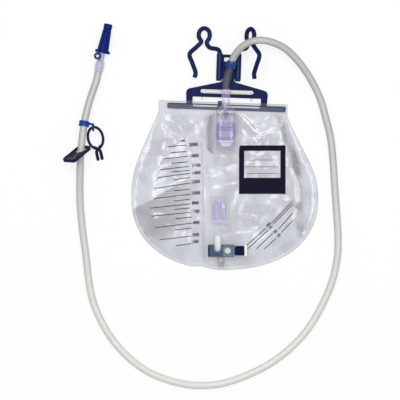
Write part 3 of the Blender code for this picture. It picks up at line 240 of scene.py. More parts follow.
# Drainage tube: 1.2 m of soft clear PVC, 9.6 mm outside and 6.6 mm inside. It leaves the drip
# chamber, is pressed in a clip on the post, arches over the right hook and runs round the bag.
tube_diameter = 9.6
tube_bore = 6.6
tube_step = 3.0
tube_route = (
    (1.2, 77.4, 16.5), (1.2, 81.0, 16.5), (1.9, 87.5, 16.5), (6.3, 104.6, 16.5), (7.7, 109.6, 16.5),
    (9.2, 114.6, 17.0), (13.4, 122.7, 20.6), (20.0, 130.6, 26.6), (28.2, 136.6, 31.6),
    (40.0, 140.6, 34.6), (54.0, 140.4, 33.2), (75.7, 132.9, 25.3), (91.0, 120.7, 18.4),
    (106.2, 102.6, 11.8), (118.4, 82.7, 7.4), (127.6, 62.0, 5.4), (134.0, 39.0, 4.9),
    (140.3, 12.7, 4.9), (146.3, -59.9, 4.9), (150.1, -130.5, 4.9), (146.8, -158.5, 4.9),
    (136.8, -191.4, 4.9), (106.4, -244.7, 4.9), (62.2, -284.2, 4.9), (4.4, -310.1, 4.9),
    (-29.0, -314.7, 4.9), (-59.5, -311.8, 4.9), (-104.2, -295.2, 4.9), (-145.2, -259.0, 4.9),
    (-174.0, -206.0, 4.9), (-185.2, -135.3, 4.9), (-189.9, -98.1, 5.1), (-192.0, -70.1, 6.6),
    (-191.6, -26.0, 11.8), (-190.3, -3.4, 14.2), (-186.4, 32.0, 11.4), (-180.0, 60.0, 9.0),
    (-170.04, 90.0, 8.6), (-168.66, 96.5, 8.6), (-167.7, 101.0, 8.6),
)


def smooth_path(points, step):
    """Points at most one step apart on a centripetal curve through the given ones."""
    knots = [Vector(p) for p in points]
    knots = [2 * knots[0] - knots[1]] + knots + [2 * knots[-1] - knots[-2]]
    path = []
    for a, b, c, d in zip(knots, knots[1:], knots[2:], knots[3:]):
        t1 = math.sqrt((b - a).length)
        t2 = t1 + math.sqrt((c - b).length)
        t3 = t2 + math.sqrt((d - c).length)
        count = max(1, math.ceil((c - b).length / step))
        for i in range(count):
            t = t1 + (t2 - t1) * i / count
            a1 = a * (1 - t / t1) + b * (t / t1)
            a2 = b * ((t2 - t) / (t2 - t1)) + c * ((t - t1) / (t2 - t1))
            a3 = c * ((t3 - t) / (t3 - t2)) + d * ((t - t2) / (t3 - t2))
            b1 = a1 * ((t2 - t) / t2) + a2 * (t / t2)
            b2 = a2 * ((t3 - t) / (t3 - t1)) + a3 * ((t - t1) / (t3 - t1))
            path.append(b1 * ((t2 - t) / (t2 - t1)) + b2 * ((t - t1) / (t2 - t1)))
    path.append(knots[-2])
    return path


def add_curve(name, points, radius, radii=None, resolution=5, closed=False):
    """A round curve along the points, whose thickness may change from point to point."""
    curve = bpy.data.curves.new(name, 'CURVE')
    curve.dimensions = '3D'
    curve.bevel_depth = radius * mm
    curve.bevel_resolution = resolution
    curve.use_fill_caps = not closed
    curve.twist_mode = 'MINIMUM'
    spline = curve.splines.new('POLY')
    spline.points.add(len(points) - 1)
    for index, point in enumerate(points):
        spline.points[index].co = (*metres(*point), 1.0)
        spline.points[index].radius = radii[index] / radius if radii else 1.0
    spline.use_cyclic_u = closed
    spline.use_smooth = True
    return add_object(name, curve)


def fit(piece, node=None, body="root"):
    """Let a piece move with its body, and stand for its solid."""
    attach(piece, body)
    if node:
        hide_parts(node)


tube_path = smooth_path(tube_route, tube_step)
tube_length = sum((b - a).length for a, b in zip(tube_path, tube_path[1:]))
tube = add_curve("tube_wall", tube_path, tube_diameter / 2, resolution=6)
tube_inside = add_curve("tube_bore", tube_path, tube_bore / 2)

tube_finish = Finish("milky_pvc_tube", roughness=0.25, specular_ior_level=0.2, coat_weight=0.4,
                     coat_roughness=0.18)
x, y, z = tube_finish.axes()
haze = tube_finish.noise(40.0, 2.0)
clear_end = y.between(60.0, 70.0, 109.0, 117.0) * abs(x - 4.0).fall(14.0, 18.0)
greyer = (y + haze * 80.0).rise(-300.0, 130.0)
tone = greyer.mix((0.86, 0.85, 0.80), (0.60, 0.595, 0.57))
# painted shade: wall is a dark colour that the tube takes where it is seen edge on, standing in for the dark
# edges of the clear tube
wall = greyer.mix((0.40, 0.40, 0.39), (0.05, 0.045, 0.08))
tone = (tube_finish.edge_on(1.3) * (1.0 - clear_end)).mix(tone, wall)
tube_finish.set("Base Color", clear_end.mix(tone, (0.20, 0.20, 0.24)))
milky = tube_finish.edge_on(2.0) * 0.4 + haze * 0.06 + 0.78
tube_finish.set("Alpha", (milky - clear_end * 0.70).at_most(1.0))
tube_finish.on(tube)
bore_finish = Finish("tube_inner_wall", base_color=(0.50, 0.50, 0.48), roughness=0.3)
bore_finish.set("Alpha", bore_finish.edge_on(3.0) * 0.25 + bore_finish.noise(18.0, 2.0) * 0.05 + 0.03)
bore_finish.on(tube_inside)
fit(tube, "drainage_tube")
fit(tube_inside)


# Bag: two sheets of clear soft PVC film, 0.35 mm thick, welded to each other all round. The hem
# at the top goes over the frame's rail, and the nearly empty bag lies flat with slack folds.
film_thick = 0.35
film_sides = 300
film_rings = 74
film_middle = (0.0, -48.0)
rim_rings = (0.0, 0.5, 1.2, 2.2, 3.4, 4.6, 5.4, 6.6, 8.2, 10.2, 12.6, 15.4, 18.6, 22.2, 26.0, 30.0)
back_top = 0.4
rim_top = 1.3
film_top = 8.35
bag_half_width = 124.2
bag_widest_y = -67.0
bag_bottom_y = -161.5
side_slope = 0.44
squareness = 0.62
notch_x, notch_half, notch_rise = -30.0, 9.0, 2.6
weld_width, side_rise = 5.0, 24.0
hem_weld, hem_rise = 0.7, 2.0
hanger_x = 2.1
hanger_y = 53.9
hanger_tilt = -2.0
hem_half_width = 85.5
hem_shift = -4.5
hem_depth = 15.5
hem_top_y = hanger_y + 7.0
hem_foot_y = hem_top_y - hem_depth
leg_top, leg_slope = 7.2, 5.0
pixel = 1.326
photo_origin = (224.9, 148.15)

# the frame's legs and post under the film: middle and half width of each, in the frame's axes
frame_legs = ((-49.7, 5.2), (49.7, 5.2), (-8.6, 3.8))

# the pieces welded to the front film keep it flat: middle and half sizes of each
film_pads = ((-1.9, 19.3, 22.4, 27.6), (-7.4, -83.3, 13.6, 20.1), (-3.0, -134.0, 32.0, 11.0))

# folds of the slack film, read off the photograph: two ends in pixels, then height and half width
fold_lines = (
    (237, 114, 246, 124, 1.9, 1.6), (244, 121, 257, 134, 1.7, 1.7), (248, 118, 264, 127, 1.2, 1.9),
    (242, 141, 262, 133, -1.0, 2.4), (258, 136, 282, 131, 0.8, 3.4), (284, 156, 303, 145, 1.0, 2.6),
    (290, 170, 312, 163, 0.9, 2.8), (131.5, 210, 152, 200, 1.7, 1.6), (150, 201, 176, 185, 1.8, 1.6),
    (174, 186, 192, 177, 0.9, 2.2), (136, 190, 146, 178, 0.9, 2.6), (139, 199, 146, 190, 0.8, 2.4),
    (143, 160, 158, 150, 0.7, 3.0), (146, 176, 152, 165, -0.7, 2.4), (158, 152, 176, 140, 0.6, 3.4),
    (160, 120, 176, 134, -0.7, 3.6), (170, 118, 166, 142, 0.6, 3.2), (134, 224, 160, 218, 0.9, 3.4),
    (140, 238, 168, 229, -0.8, 3.0), (150, 246, 176, 240, 0.9, 3.4), (158, 256, 184, 247, -0.7, 3.2),
    (176, 262, 198, 252, 0.7, 3.0), (206, 150, 230, 160, 0.7, 3.2), (208, 176, 232, 164, -0.7, 3.6),
    (212, 190, 240, 184, 0.6, 4.0), (236, 216, 262, 221, 0.9, 3.0), (232, 232, 258, 226, -0.8, 3.2),
    (240, 258, 266, 262, 0.8, 3.0), (246, 252, 276, 258, -0.6, 3.0), (268, 262, 290, 250, 0.8, 3.0),
    (290, 204, 316, 208, 1.0, 2.6), (296, 222, 314, 226, -0.8, 2.4), (292, 236, 309, 232, 0.8, 2.4),
    (302, 160, 306, 184, 0.7, 2.6), (298, 186, 300, 214, -0.9, 2.6), (296, 214, 300, 246, -0.8, 2.6),
    (286, 128, 294, 150, 0.8, 3.0), (276, 118, 286, 128, -0.7, 3.0), (210, 262, 236, 266, 0.6, 2.8),
    (262, 196, 288, 200, 0.5, 4.0), (250, 206, 286, 190, -0.5, 4.4), (240, 128, 262, 145, -0.8, 3.2),
)

# painted highlights: near-white, more opaque lines along the crests of the sharpest folds, right of the drip
# chamber
glint_lines = (
    ((238.6, 113.7), (243.2, 117.6), (248.7, 123.8), (254.1, 130.8), (261.1, 133.5)),
    ((241.7, 113.7), (249.4, 119.1), (256.4, 125.7), (263.4, 128.4)),
)


def on_photo(x, y):
    """A place read off the photograph, in its pixels, as millimetres on the table."""
    return (x - photo_origin[0]) * pixel, (photo_origin[1] - y) * pixel


def bezier(a, b, c, d, count):
    """Points on a cubic from a to d with handles b and c, without the last."""
    t = np.arange(count)[:, None] / count
    a, b, c, d = (np.array(p) for p in (a, b, c, d))
    return (1 - t) ** 3 * a + 3 * (1 - t) ** 2 * t * b + 3 * (1 - t) * t * t * c + t ** 3 * d


def even_loop(corners, count):
    """The closed outline through the corners, as evenly spaced points."""
    ends = np.vstack([corners, corners[:1]])
    lengths = np.concatenate([[0.0], np.cumsum(np.hypot(*np.diff(ends, axis=0).T))])
    along = np.linspace(0.0, lengths[-1], count, endpoint=False)
    return np.column_stack([np.interp(along, lengths, axis) for axis in ends.T])


def bag_outline():
    """The bag's edge, clockwise from the hem's right end."""
    slope = math.tan(math.radians(hanger_tilt))
    drop = bag_widest_y - bag_bottom_y
    halves = []
    for side in (1, -1):
        top, foot = ((hanger_x + hem_shift + side * hem_half_width - (y - hanger_y) * slope,
                      y + side * hem_half_width * slope) for y in (hem_top_y, hem_foot_y))
        run = foot[1] - bag_widest_y
        widest = (side * bag_half_width, bag_widest_y)
        flank = bezier(foot, (foot[0] + side * side_slope * run * 0.55, foot[1] - run * 0.55),
                       (widest[0], bag_widest_y + run * 0.35), widest, 40)
        corner = bezier(widest, (widest[0], bag_widest_y - drop * squareness),
                        (widest[0] * squareness, bag_bottom_y), (0.0, bag_bottom_y), 60)
        halves.append(np.vstack([top, flank, corner]))
    edge = np.vstack([halves[0], (0.0, bag_bottom_y), halves[1][::-1]])
    low = edge[:, 1] < bag_widest_y
    edge[low, 1] += notch_rise * np.exp(-((edge[low, 0] - notch_x) / notch_half) ** 2)
    return edge


bag_edge = even_loop(bag_outline(), film_sides)


def film_inset(x, y):
    """How far points of the table lie inside the bag's edge."""
    inset = np.full(x.shape, np.inf)
    for a, b in zip(bag_edge, np.roll(bag_edge, -1, axis=0)):
        run = b - a
        share = np.clip(((x - a[0]) * run[0] + (y - a[1]) * run[1]) / (run @ run), 0.0, 1.0)
        inset = np.minimum(inset, np.hypot(x - a[0] - share * run[0], y - a[1] - share * run[1]))
    return inset


def eased(share):
    """A share, kept from 0 to 1 and smooth at both ends."""
    share = np.clip(share, 0.0, 1.0)
    return share * share * (3 - 2 * share)


def film_height(x, y):
    """Top of the front film over points of the table: flat middle, sloping sides and folds."""
    inset = film_inset(x, y)
    fade = np.clip((hem_foot_y - y) / (3 * hem_depth), 0.0, 1.0)
    weld = hem_weld + (weld_width - hem_weld) * fade
    rise = hem_rise + (side_rise - hem_rise) * fade
    height = rim_top + (film_top - rim_top) * eased((inset - weld) / rise)
    c, s = math.cos(math.radians(hanger_tilt)), math.sin(math.radians(hanger_tilt))
    for leg_x, half in frame_legs:
        off = abs((x - hanger_x) * c + (y - hanger_y) * s - leg_x)
        over = eased((half + leg_slope - off) / leg_slope) * (y > hem_foot_y)
        height = np.maximum(height, rim_top + (leg_top - rim_top) * over)
    fold = np.zeros_like(height)
    for start_x, start_y, end_x, end_y, lift, half in fold_lines:
        a, b = np.array(on_photo(start_x, start_y)), np.array(on_photo(end_x, end_y))
        run = b - a
        share = ((x - a[0]) * run[0] + (y - a[1]) * run[1]) / (run @ run)
        off = ((x - a[0]) * run[1] - (y - a[1]) * run[0]) / np.hypot(*run)
        taper = np.exp(-np.clip(np.abs(share - 0.5) - 0.28, 0.0, None) ** 2 / 0.05)
        fold += lift * np.exp(-(off / half) ** 2) * taper
    sway = np.sin(x * 0.061 + 9 * np.sin(y * 0.023)) * np.sin(y * 0.074 + 7 * np.sin(x * 0.031 + 2.0))
    turn = 3.0 * np.sin(x * 0.037 + 1.0) + 2.6 * np.sin(y * 0.043 - x * 0.019)
    ripple = np.sin(x * 0.171 + y * 0.118 + 2.2 * turn) * np.sin(y * 0.149 - x * 0.063 + 1.7 * turn)
    slack = sway * 0.45 + np.sign(ripple) * np.abs(ripple) ** 1.5 * 0.20
    free = np.clip((inset - 3.0) / 14.0, 0.0, 1.0) * np.clip((hem_foot_y - y) / 8.0, 0.0, 1.0)
    for pad_x, pad_y, half_x, half_y in film_pads:
        out = np.hypot(np.clip(abs(x - pad_x) - half_x, 0, None), np.clip(abs(y - pad_y) - half_y, 0, None))
        free = free * np.clip(out / 9.0, 0.0, 1.0)
    pucker = np.sin(np.arctan2(y + 50.0, x) * 46 + 3 * np.sin(x * 0.040)) * 0.22
    near_weld = np.exp(-((inset - weld - 5.0) / 5.0) ** 2) * fade
    return height + (fold + slack) * free + pucker * near_weld


def add_mesh(name, points, edges, faces):
    """A new object from points in millimetres and the edges or faces between them."""
    mesh = bpy.data.meshes.new(name)
    mesh.from_pydata([metres(*point) for point in points], edges, faces)
    return add_object(name, mesh)


def select_only(obj):
    bpy.ops.object.select_all(action='DESELECT')
    obj.select_set(True)
    bpy.context.view_layer.objects.active = obj


def apply_all(obj):
    """Apply an object's modifiers and place."""
    select_only(obj)
    for modifier in list(obj.modifiers):
        bpy.ops.object.modifier_apply(modifier=modifier.name)
    bpy.ops.object.transform_apply(location=True, rotation=True, scale=True)
    obj.select_set(False)
    return obj


def thicken(obj, thickness, offset):
    wall = obj.modifiers.new("thickness", 'SOLIDIFY')
    wall.thickness = thickness * mm
    wall.offset = offset
    return apply_all(obj)


def add_film(name, height):
    """A sheet of film in rings from the bag's edge to its middle, whose top has that height."""
    middle = np.array(film_middle)
    reach = np.hypot(*(bag_edge - middle).T)
    rings = [bag_edge + (middle - bag_edge) * (near / reach)[:, None] for near in rim_rings]
    inmost = rings[-1]
    left = film_rings - len(rings)
    rings += [inmost * (1 - i / left) + middle * (i / left) for i in range(1, left)]
    points = np.vstack([*rings, middle])
    faces = []
    for outer in range(0, film_sides * (len(rings) - 1), film_sides):
        inner = outer + film_sides
        for i in range(film_sides):
            j = (i + 1) % film_sides
            faces.append((outer + i, outer + j, inner + j, inner + i))
    faces += [(inner + i, inner + (i + 1) % film_sides, len(points) - 1) for i in range(film_sides)]
    faces = [face[::-1] for face in faces]
    film = add_mesh(name, np.column_stack([points, height(*points.T)]), [], faces)
    edge_distance = film.data.attributes.new("edge_distance", 'FLOAT', 'POINT')
    edge_distance.data.foreach_set("value", film_inset(*points.T))
    film.data.shade_smooth()
    return thicken(film, film_thick, -1.0)


front_film = add_film("front_sheet", film_height)
back_film = add_film("back_sheet", lambda x, y: np.full(len(x), back_top))


def hypot(a, b):
    """The length of a vector from its two parts, each a Value."""
    return (a * a + b * b) ** 0.5


film_finish = Finish("front_film_pvc", roughness=0.16, specular_ior_level=0.8, coat_roughness=0.10,
                     coat_ior=1.7)
x, y, z = film_finish.axes()
edge_distance = film_finish.node("ShaderNodeAttribute", {"attribute_name": "edge_distance"}, {}, "Fac")
cloud = film_finish.noise(34.0)
clinging = (cloud + film_finish.noise(9.0) * 0.22).rise(0.50, 0.74)
past_fold = (x + 124.0) * 0.575 - y - 82.0 + (cloud - 0.5) * 4.0
# painted shade: past the diagonal fold on the lower left the film is darker and less clear, standing in for
# its darker reflection there
shade_below_fold = past_fold.between(0.0, 2.0, 40.0, 76.0) * x.fall(-66.0, -34.0)
# painted shadow: a brownish-grey band down the right side of the film, less clear and less glossy, stands in
# for the shade of a fold there
fold_shadow_x = 97.0 - (y + 45.0) * 0.05 - (y + 20.0).at_least(0.0) * 0.37
fold_shadow = abs(x - fold_shadow_x + (cloud - 0.5) * 9.0).fall(2.0, 8.0) * y.between(-132.0, -100.0, 32.0, 46.0)
fold_shadow = fold_shadow * (film_finish.noise(22.0, 2.0).rise(0.34, 0.58) * 0.7 + 0.3)
in_hem = y.rise(44.0, 48.0)
welded = edge_distance.fall(4.2, 5.0)
seam = edge_distance.between(4.0, 4.8, 5.2, 6.4)
rim = edge_distance.fall(0.3, 1.3)
weld_line = abs(x + 29.0 + (y + 70.0) * 0.02).fall(1.2, 2.6) * y.between(-158.0, -150.0, 2.0, 12.0)
# painted highlight: a white line along the crest of each of those folds
crest_glint = 0.0
for line in glint_lines:
    for start, end in zip(line, line[1:]):
        start, end = Vector(on_photo(*start)), Vector(on_photo(*end))
        middle = (start + end) / 2
        run = (end - start).normalized()
        along = (x - middle.x) * run.x + (y - middle.y) * run.y
        across = (x - start.x) * run.y - (y - start.y) * run.x
        past_end = (abs(along) - (end - start).length / 2).at_least(0.0)
        crest_glint = (abs(across) + past_end).fall(0.2, 1.5).at_least(crest_glint)
crest_glint = crest_glint * (cloud.rise(0.36, 0.5) * 0.4 + 0.6)
tone = clinging.mix((0.70, 0.74, 0.86), (0.48, 0.50, 0.58))
# painted shade past the lower-left fold, a painted fold shadow and painted crest highlights are mixed in
# here, with the weld line and the rim
for share, colour in ((shade_below_fold * 0.8, (0.22, 0.22, 0.25)), (fold_shadow * 0.9, (0.19, 0.15, 0.14)),
                      (weld_line * 0.6, (0.50, 0.44, 0.72)), (rim * 0.7, (0.20, 0.20, 0.24)),
                      (crest_glint, (1.0, 1.0, 1.0))):
    tone = share.mix(tone, colour)
film_finish.set("Base Color", tone)
clouded = 0.21 + clinging * 0.05 + shade_below_fold * 0.07 + fold_shadow * 0.18 + weld_line * 0.06
clouded = clouded * (1.0 - welded * 0.55) * (1.0 - in_hem * 0.65)
film_finish.set("Alpha", clouded + seam * (1.0 - in_hem) * 0.07 + rim * 0.16 + crest_glint * 0.5)
film_finish.set("Coat Weight", 1.0 - in_hem * 0.5 - fold_shadow * 0.4)
creases = film_finish.node(
    "ShaderNodeTexNoise", {"noise_type": 'RIDGED_MULTIFRACTAL'},
    {"Vector": film_finish.place((0.45, 1.0, 0.0), 32.0), "Scale": 1.0 / (34.0 * mm), "Detail": 1.2,
     "Roughness": 0.4, "Offset": 0.9, "Gain": 1.4, "Distortion": 0.5})
creases = creases * (1.0 - in_hem * 0.7) * (1.0 - hypot(x - 40.0, y - 26.0).fall(16.0, 38.0) * 0.75)
film_finish.bump(film_finish.noise(7.0, 2.0, (1.0, 1.6, 1.0)) * 0.1 + film_finish.noise(26.0, 2.0) * 0.4
                 + creases, 1.35)
film_finish.on(front_film)

back_finish = Finish("back_film_pvc", base_color=(0.50, 0.53, 0.62), roughness=0.2, coat_weight=0.2)
back_finish.set("Alpha", back_finish.noise(30.0) * 0.10 + 0.20)
back_finish.grain(6.0, 0.1).on(back_film)
for film, node, under in ((front_film, "front_film", "back_sheet"), (back_film, "back_film", "table")):
    fit(film, node)
    metres(2 * bag_half_width, hem_top_y - bag_bottom_y)


# Printed scales: dark ink on the front film. A long scale of volumes runs up the left side, and
# four short lines with their own numbers cross the lower right corner. The field is for writing.
ink_lift, ink_thick = 0.14, 0.05
ink_width = 0.9
ink_step = 2.4
stroke_swell = 0.20
scale_marks = (
    (168.3, 146.8, 186.8, 145.2), (170.8, 152.9, 187.1, 151.5), (163.4, 158.9, 187.7, 156.3),
    (171.5, 163.6, 187.7, 161.8), (160.4, 169.7, 188.7, 166.5), (172.1, 172.0, 189.3, 170.4),
    (157.4, 177.8, 189.9, 173.3), (173.8, 179.9, 189.9, 177.4), (154.2, 188.6, 190.3, 183.1),
    (174.3, 190.8, 189.9, 189.2), (153.0, 198.8, 190.3, 194.3), (174.3, 201.0, 189.9, 199.3),
    (150.4, 208.2, 190.3, 203.9), (174.6, 209.6, 190.3, 207.9), (151.4, 216.3, 190.6, 212.4),
    (175.7, 218.8, 191.6, 217.0), (154.9, 227.8, 191.9, 223.2), (174.6, 230.0, 191.6, 228.1),
    (160.0, 239.7, 191.6, 236.1), (175.9, 245.7, 191.2, 243.6),
    (246.7, 245.3, 265.8, 228.3), (271.0, 223.6, 292.6, 201.0), (247.3, 249.1, 268.4, 230.0),
    (272.9, 224.2, 293.0, 203.8), (256.0, 249.1, 272.6, 233.4), (278.6, 229.1, 292.2, 213.4),
    (264.2, 249.1, 276.0, 238.3), (281.1, 232.5, 292.6, 220.7),
)
volume_words = (
    ("2000", 193.4, 144.8), ("1800", 194.4, 155.9), ("1600", 196.3, 165.5), ("1400", 196.3, 172.9),
    ("1200", 195.6, 181.8), ("1000", 195.9, 193.1), ("800", 195.4, 203.1), ("600", 196.3, 211.5),
    ("400", 196.3, 222.6), ("200", 195.7, 234.8), ("100", 195.3, 241.8),
)
corner_words = (("100", 268.2, 225.0), ("75", 270.7, 227.4), ("50", 275.2, 231.6), ("25", 279.0, 235.4))
word_sets = ((volume_words, 5.9, 5.0), (corner_words, 4.72, 42.0), ((("ml", 183.0, 140.6),), 5.31, 5.0))
panel_left, panel_top = on_photo(239.0, 145.5)
panel_right, panel_foot = on_photo(285.5, 194.0)
panel_cells = 18
field_border = 2
field_foot = 6
rule_shares = (0.30, 0.44, 0.58)
rule_margin = 9.0
rule_width = 0.5
print_shape = bmesh.new()


def print_quad(corners):
    """Four corners of ink, in order."""
    print_shape.faces.new([print_shape.verts.new((*metres(*corner), 0.0)) for corner in corners])


def print_line(start, end, width):
    a, b = Vector(start), Vector(end)
    side = Vector((-(b - a).y, (b - a).x)).normalized() * width / 2
    count = max(1, round((b - a).length / ink_step))
    for i in range(count):
        near, far = a.lerp(b, i / count), a.lerp(b, (i + 1) / count)
        print_quad([near - side, far - side, far + side, near + side])


def print_word(text, middle, size, tilt):
    bpy.ops.object.text_add(location=(*metres(*middle), 0.0), rotation=(0.0, 0.0, math.radians(tilt)))
    label = bpy.context.object
    label.data.body = text
    label.data.size = size * mm
    label.data.align_x = 'CENTER'
    label.data.align_y = 'CENTER'
    label.data.offset = stroke_swell * mm
    bpy.ops.object.convert(target='MESH')
    label.data.transform(label.matrix_world)
    print_shape.from_mesh(label.data)
    bpy.data.objects.remove(label, do_unlink=True)


def finish_print(name):
    """Lay what has been drawn on the film and give it its thickness."""
    spots = np.array([vert.co for vert in print_shape.verts]) / mm
    for vert, height in zip(print_shape.verts, film_height(spots[:, 0], spots[:, 1])):
        vert.co.z = (height + ink_lift) * mm
    ink = add_object(name, bpy.data.meshes.new(name))
    print_shape.to_mesh(ink.data)
    print_shape.clear()
    return thicken(ink, ink_thick, 1.0)


for start_x, start_y, end_x, end_y in scale_marks:
    print_line(on_photo(start_x, start_y), on_photo(end_x, end_y), ink_width)
for words, size, tilt in word_sets:
    for text, x, y in words:
        print_word(text, on_photo(x, y), size, tilt)
scale_print = finish_print("scale_print")

# the write-on field: a dark panel with a paler field that is ruled for a name and a date
for row in range(panel_cells):
    for column in range(panel_cells):
        if (field_border <= row < panel_cells - field_foot
                and field_border <= column < panel_cells - field_border):
            continue
        left, right = (panel_left + (panel_right - panel_left) * (column + i) / panel_cells for i in (0, 1))
        upper, lower = (panel_top + (panel_foot - panel_top) * (row + i) / panel_cells for i in (0, 1))
        print_quad([(left, lower), (right, lower), (right, upper), (left, upper)])
for share in rule_shares:
    y = panel_top + (panel_foot - panel_top) * share
    print_line((panel_left + rule_margin, y), (panel_right - rule_margin, y), rule_width)
write_on_panel = finish_print("write_on_panel")

ink_finish = Finish("printing_ink", specular_ior_level=0.03)
ink_finish.set("Roughness", ink_finish.noise(4.0) * 0.3 + 0.35)
ink_finish.mottle(2.0, (0.004, 0.004, 0.014), (0.012, 0.012, 0.034)).on(scale_print, write_on_panel)
fit(scale_print)
fit(write_on_panel)


# Hanger frame: one satin navy moulding, of which the rail lies in the hem. Two bed hooks of bent
# round rod turn in its sleeves, and a twisted white cord lies in the slot of its yoke.
rod_radius = 3.0
hook_spacing = 24.8
hook_head = 3.75
hook_head_length = 2.2
head_edge = 0.35
sleeve_top_y = 48.0
post_shift = 1.2
hanger_z = 4.2
raise_of_right = 48.0
hook_line = (
    (0.0, 35.0), (0.0, 48.5), (0.0, 65.2), (0.0, 71.2), (0.7, 74.2), (3.4, 76.8), (13.9, 78.8),
    (17.9, 84.8), (14.9, 91.2), (14.4, 96.8), (16.7, 101.8), (21.6, 104.1), (26.5, 101.8), (28.8, 96.8),
    (28.3, 91.4), (25.3, 86.2), (31.6, 78.6), (40.1, 69.2), (35.8, 56.6), (31.3, 44.2), (32.5, 38.6),
)
slot_y = 20.6
cord_end_x = 32.7
cord_radius = 2.15
strand_radius = 1.2
strand_pitch = 8.4
strand_step = 0.4
strand_span = 2 * (cord_end_x - 1.9)
tail_radius = 0.8
tail_drop = (
    (32.0, 20.4, 3.6, 0.9), (32.6, 19.9, 2.2, 0.8), (32.7, 18.8, 1.1, 0.8), (32.7, 13.0, 1.1, 0.8),
    (32.7, 11.4, 1.4, 0.8), (32.7, 11.1, 2.0, 1.45), (32.7, 9.9, 2.0, 1.6), (32.7, 8.9, 2.0, 1.3),
)
clip_bore, clip_outside, clip_length = 5.0, 6.3, 9.0
jaw_angles = ((32, 78), (102, 148))


def at(x, y, z, *turns):
    """A place, turned about its own axes by each (degrees, axis) in order."""
    place = Matrix.Translation(metres(x, y, z))
    for angle, axis in turns:
        place = place @ Matrix.Rotation(math.radians(angle), 4, axis)
    return place


def as_piece(curve_obj, place):
    """A curve made into a mesh with its place in its points."""
    select_only(curve_obj)
    bpy.ops.object.convert(target='MESH')
    piece = bpy.context.object
    shape = bmesh.new()
    shape.from_mesh(piece.data)
    bmesh.ops.remove_doubles(shape, verts=shape.verts, dist=0.001 * mm)
    bmesh.ops.transform(shape, matrix=place, verts=shape.verts)
    bmesh.ops.recalc_face_normals(shape, faces=shape.faces)
    shape.to_mesh(piece.data)
    shape.free()
    bpy.ops.object.shade_smooth_by_angle(angle=math.radians(40.0))
    piece.select_set(False)
    return piece


def add_rod(name, points, radius, resolution=5, place=Matrix(), radii=None, closed=False):
    """A round rod or wire as a mesh."""
    return as_piece(add_curve(name, points, radius, radii, resolution, closed), place)


def join_pieces(name, pieces):
    select_only(pieces[0])
    for piece in pieces:
        piece.select_set(True)
    bpy.ops.object.join()
    whole = bpy.context.object
    whole.name = name
    whole.select_set(False)
    return whole


hanger_place = at(hanger_x, hanger_y, 0.0, (hanger_tilt, 'Z'))


def add_hook(name, side, raised):
    """A rod from its head, up through the sleeve and round the hook to its rounded tip."""
    foot_y = hook_line[0][1]
    head_heights = (0.0, head_edge, hook_head_length - 0.3, hook_head_length - 0.1)
    line = smooth_path([(side * x, y, 0.0) for x, y in hook_line], 1.1)
    line = [Vector((0.0, foot_y + up, 0.0)) for up in head_heights] + [
        point for point in line if point.y > sleeve_top_y or abs(point.x) > 1.0]
    line.append(line[-1] + (line[-1] - line[-2]).normalized() * 0.5)
    radii = [hook_head - head_edge, hook_head, hook_head] + [rod_radius] * (len(line) - 5)
    radii += [rod_radius * 0.985, rod_radius * 0.80]
    place = hanger_place @ at(post_shift + side * hook_spacing / 2, 0.0, hanger_z, (-side * raised, 'Y'))
    return add_rod(name, line, rod_radius, 7, place, radii)


left_hook = add_hook("hook_rod_left", -1, 0.0)
right_hook = add_hook("hook_rod_right", 1, raise_of_right)

navy_finish = Finish("satin_navy_plastic", specular_ior_level=0.03, coat_weight=0.06, coat_roughness=0.14)
flow = navy_finish.noise(22.0, 3.0, (1.0, 0.4, 1.0))
x, y, z = navy_finish.axes()
# painted highlight: lighter blue along the crowns of the post's sleeves
crown_highlight = (z + (flow - 0.5) * 0.8).rise(7.6, 8.8) * z.fall(9.6, 9.9)
crown_highlight = crown_highlight * y.rise(89.0, 91.0) * abs(x - 4.4).fall(18.0, 20.0)
tone = flow.mix((0.004, 0.009, 0.045), (0.010, 0.022, 0.10))
navy_finish.set("Base Color", (crown_highlight * 0.75).mix(tone, (0.02, 0.07, 0.26)))
navy_finish.set("Roughness", navy_finish.noise(9.0) * 0.16 + 0.20)
navy_finish.grain(0.8, 0.05).on(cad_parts["hanger_frame"], left_hook, right_hook)
fit(left_hook, "left_hook", "left_hook")
fit(right_hook, "right_hook", "right_hook")

cord_pieces = []
for turn_start in (0.0, math.pi):
    count = round(strand_span / strand_step)
    points = []
    radii = []
    for i in range(count + 1):
        along = -strand_span / 2 + strand_span * i / count
        angle = turn_start + 2 * math.pi * along / strand_pitch
        near_end = min(1.0, (strand_span / 2 - abs(along)) / 3.0)
        out = (cord_radius - strand_radius) * (0.35 + 0.65 * near_end)
        points.append((along, slot_y + out * math.cos(angle), hanger_z + out * math.sin(angle)))
        radii.append(strand_radius * (0.8 + 0.2 * near_end))
    cord_pieces.append(add_rod("strand", points, strand_radius, 3, hanger_place, radii))
for side in (-1, 1):
    tail = [(side * x, y, z) for x, y, z, radius in tail_drop]
    radii = [radius for x, y, z, radius in tail_drop]
    cord_pieces.append(add_rod("tail", tail, tail_radius, 4, hanger_place, radii))
twisted_cord = join_pieces("twisted_cord", cord_pieces)
cord_finish = Finish("white_cord", roughness=0.85)
x, y, z = cord_finish.axes()
# a diagonal ply pattern that raises the plies as bumps; the darker colour in the grooves between them is
# painted shade
plies_and_groove_shade = ((x + y * 0.9) * (2 * math.pi / 0.55)).wave() * 0.5 + 0.5
cord_finish.set("Base Color", plies_and_groove_shade.mix((0.84, 0.83, 0.79), (0.96, 0.96, 0.95)))
cord_finish.bump(plies_and_groove_shade, 0.06)
cord_finish.on(twisted_cord)
fit(twisted_cord, "hanging_cord")


def arc(x, y, radius, start, end, count=8):
    """Points on an arc between two angles in degrees."""
    angles = [math.radians(start + (end - start) * i / count) for i in range(count + 1)]
    return [(x + radius * math.cos(a), y + radius * math.sin(a)) for a in angles]


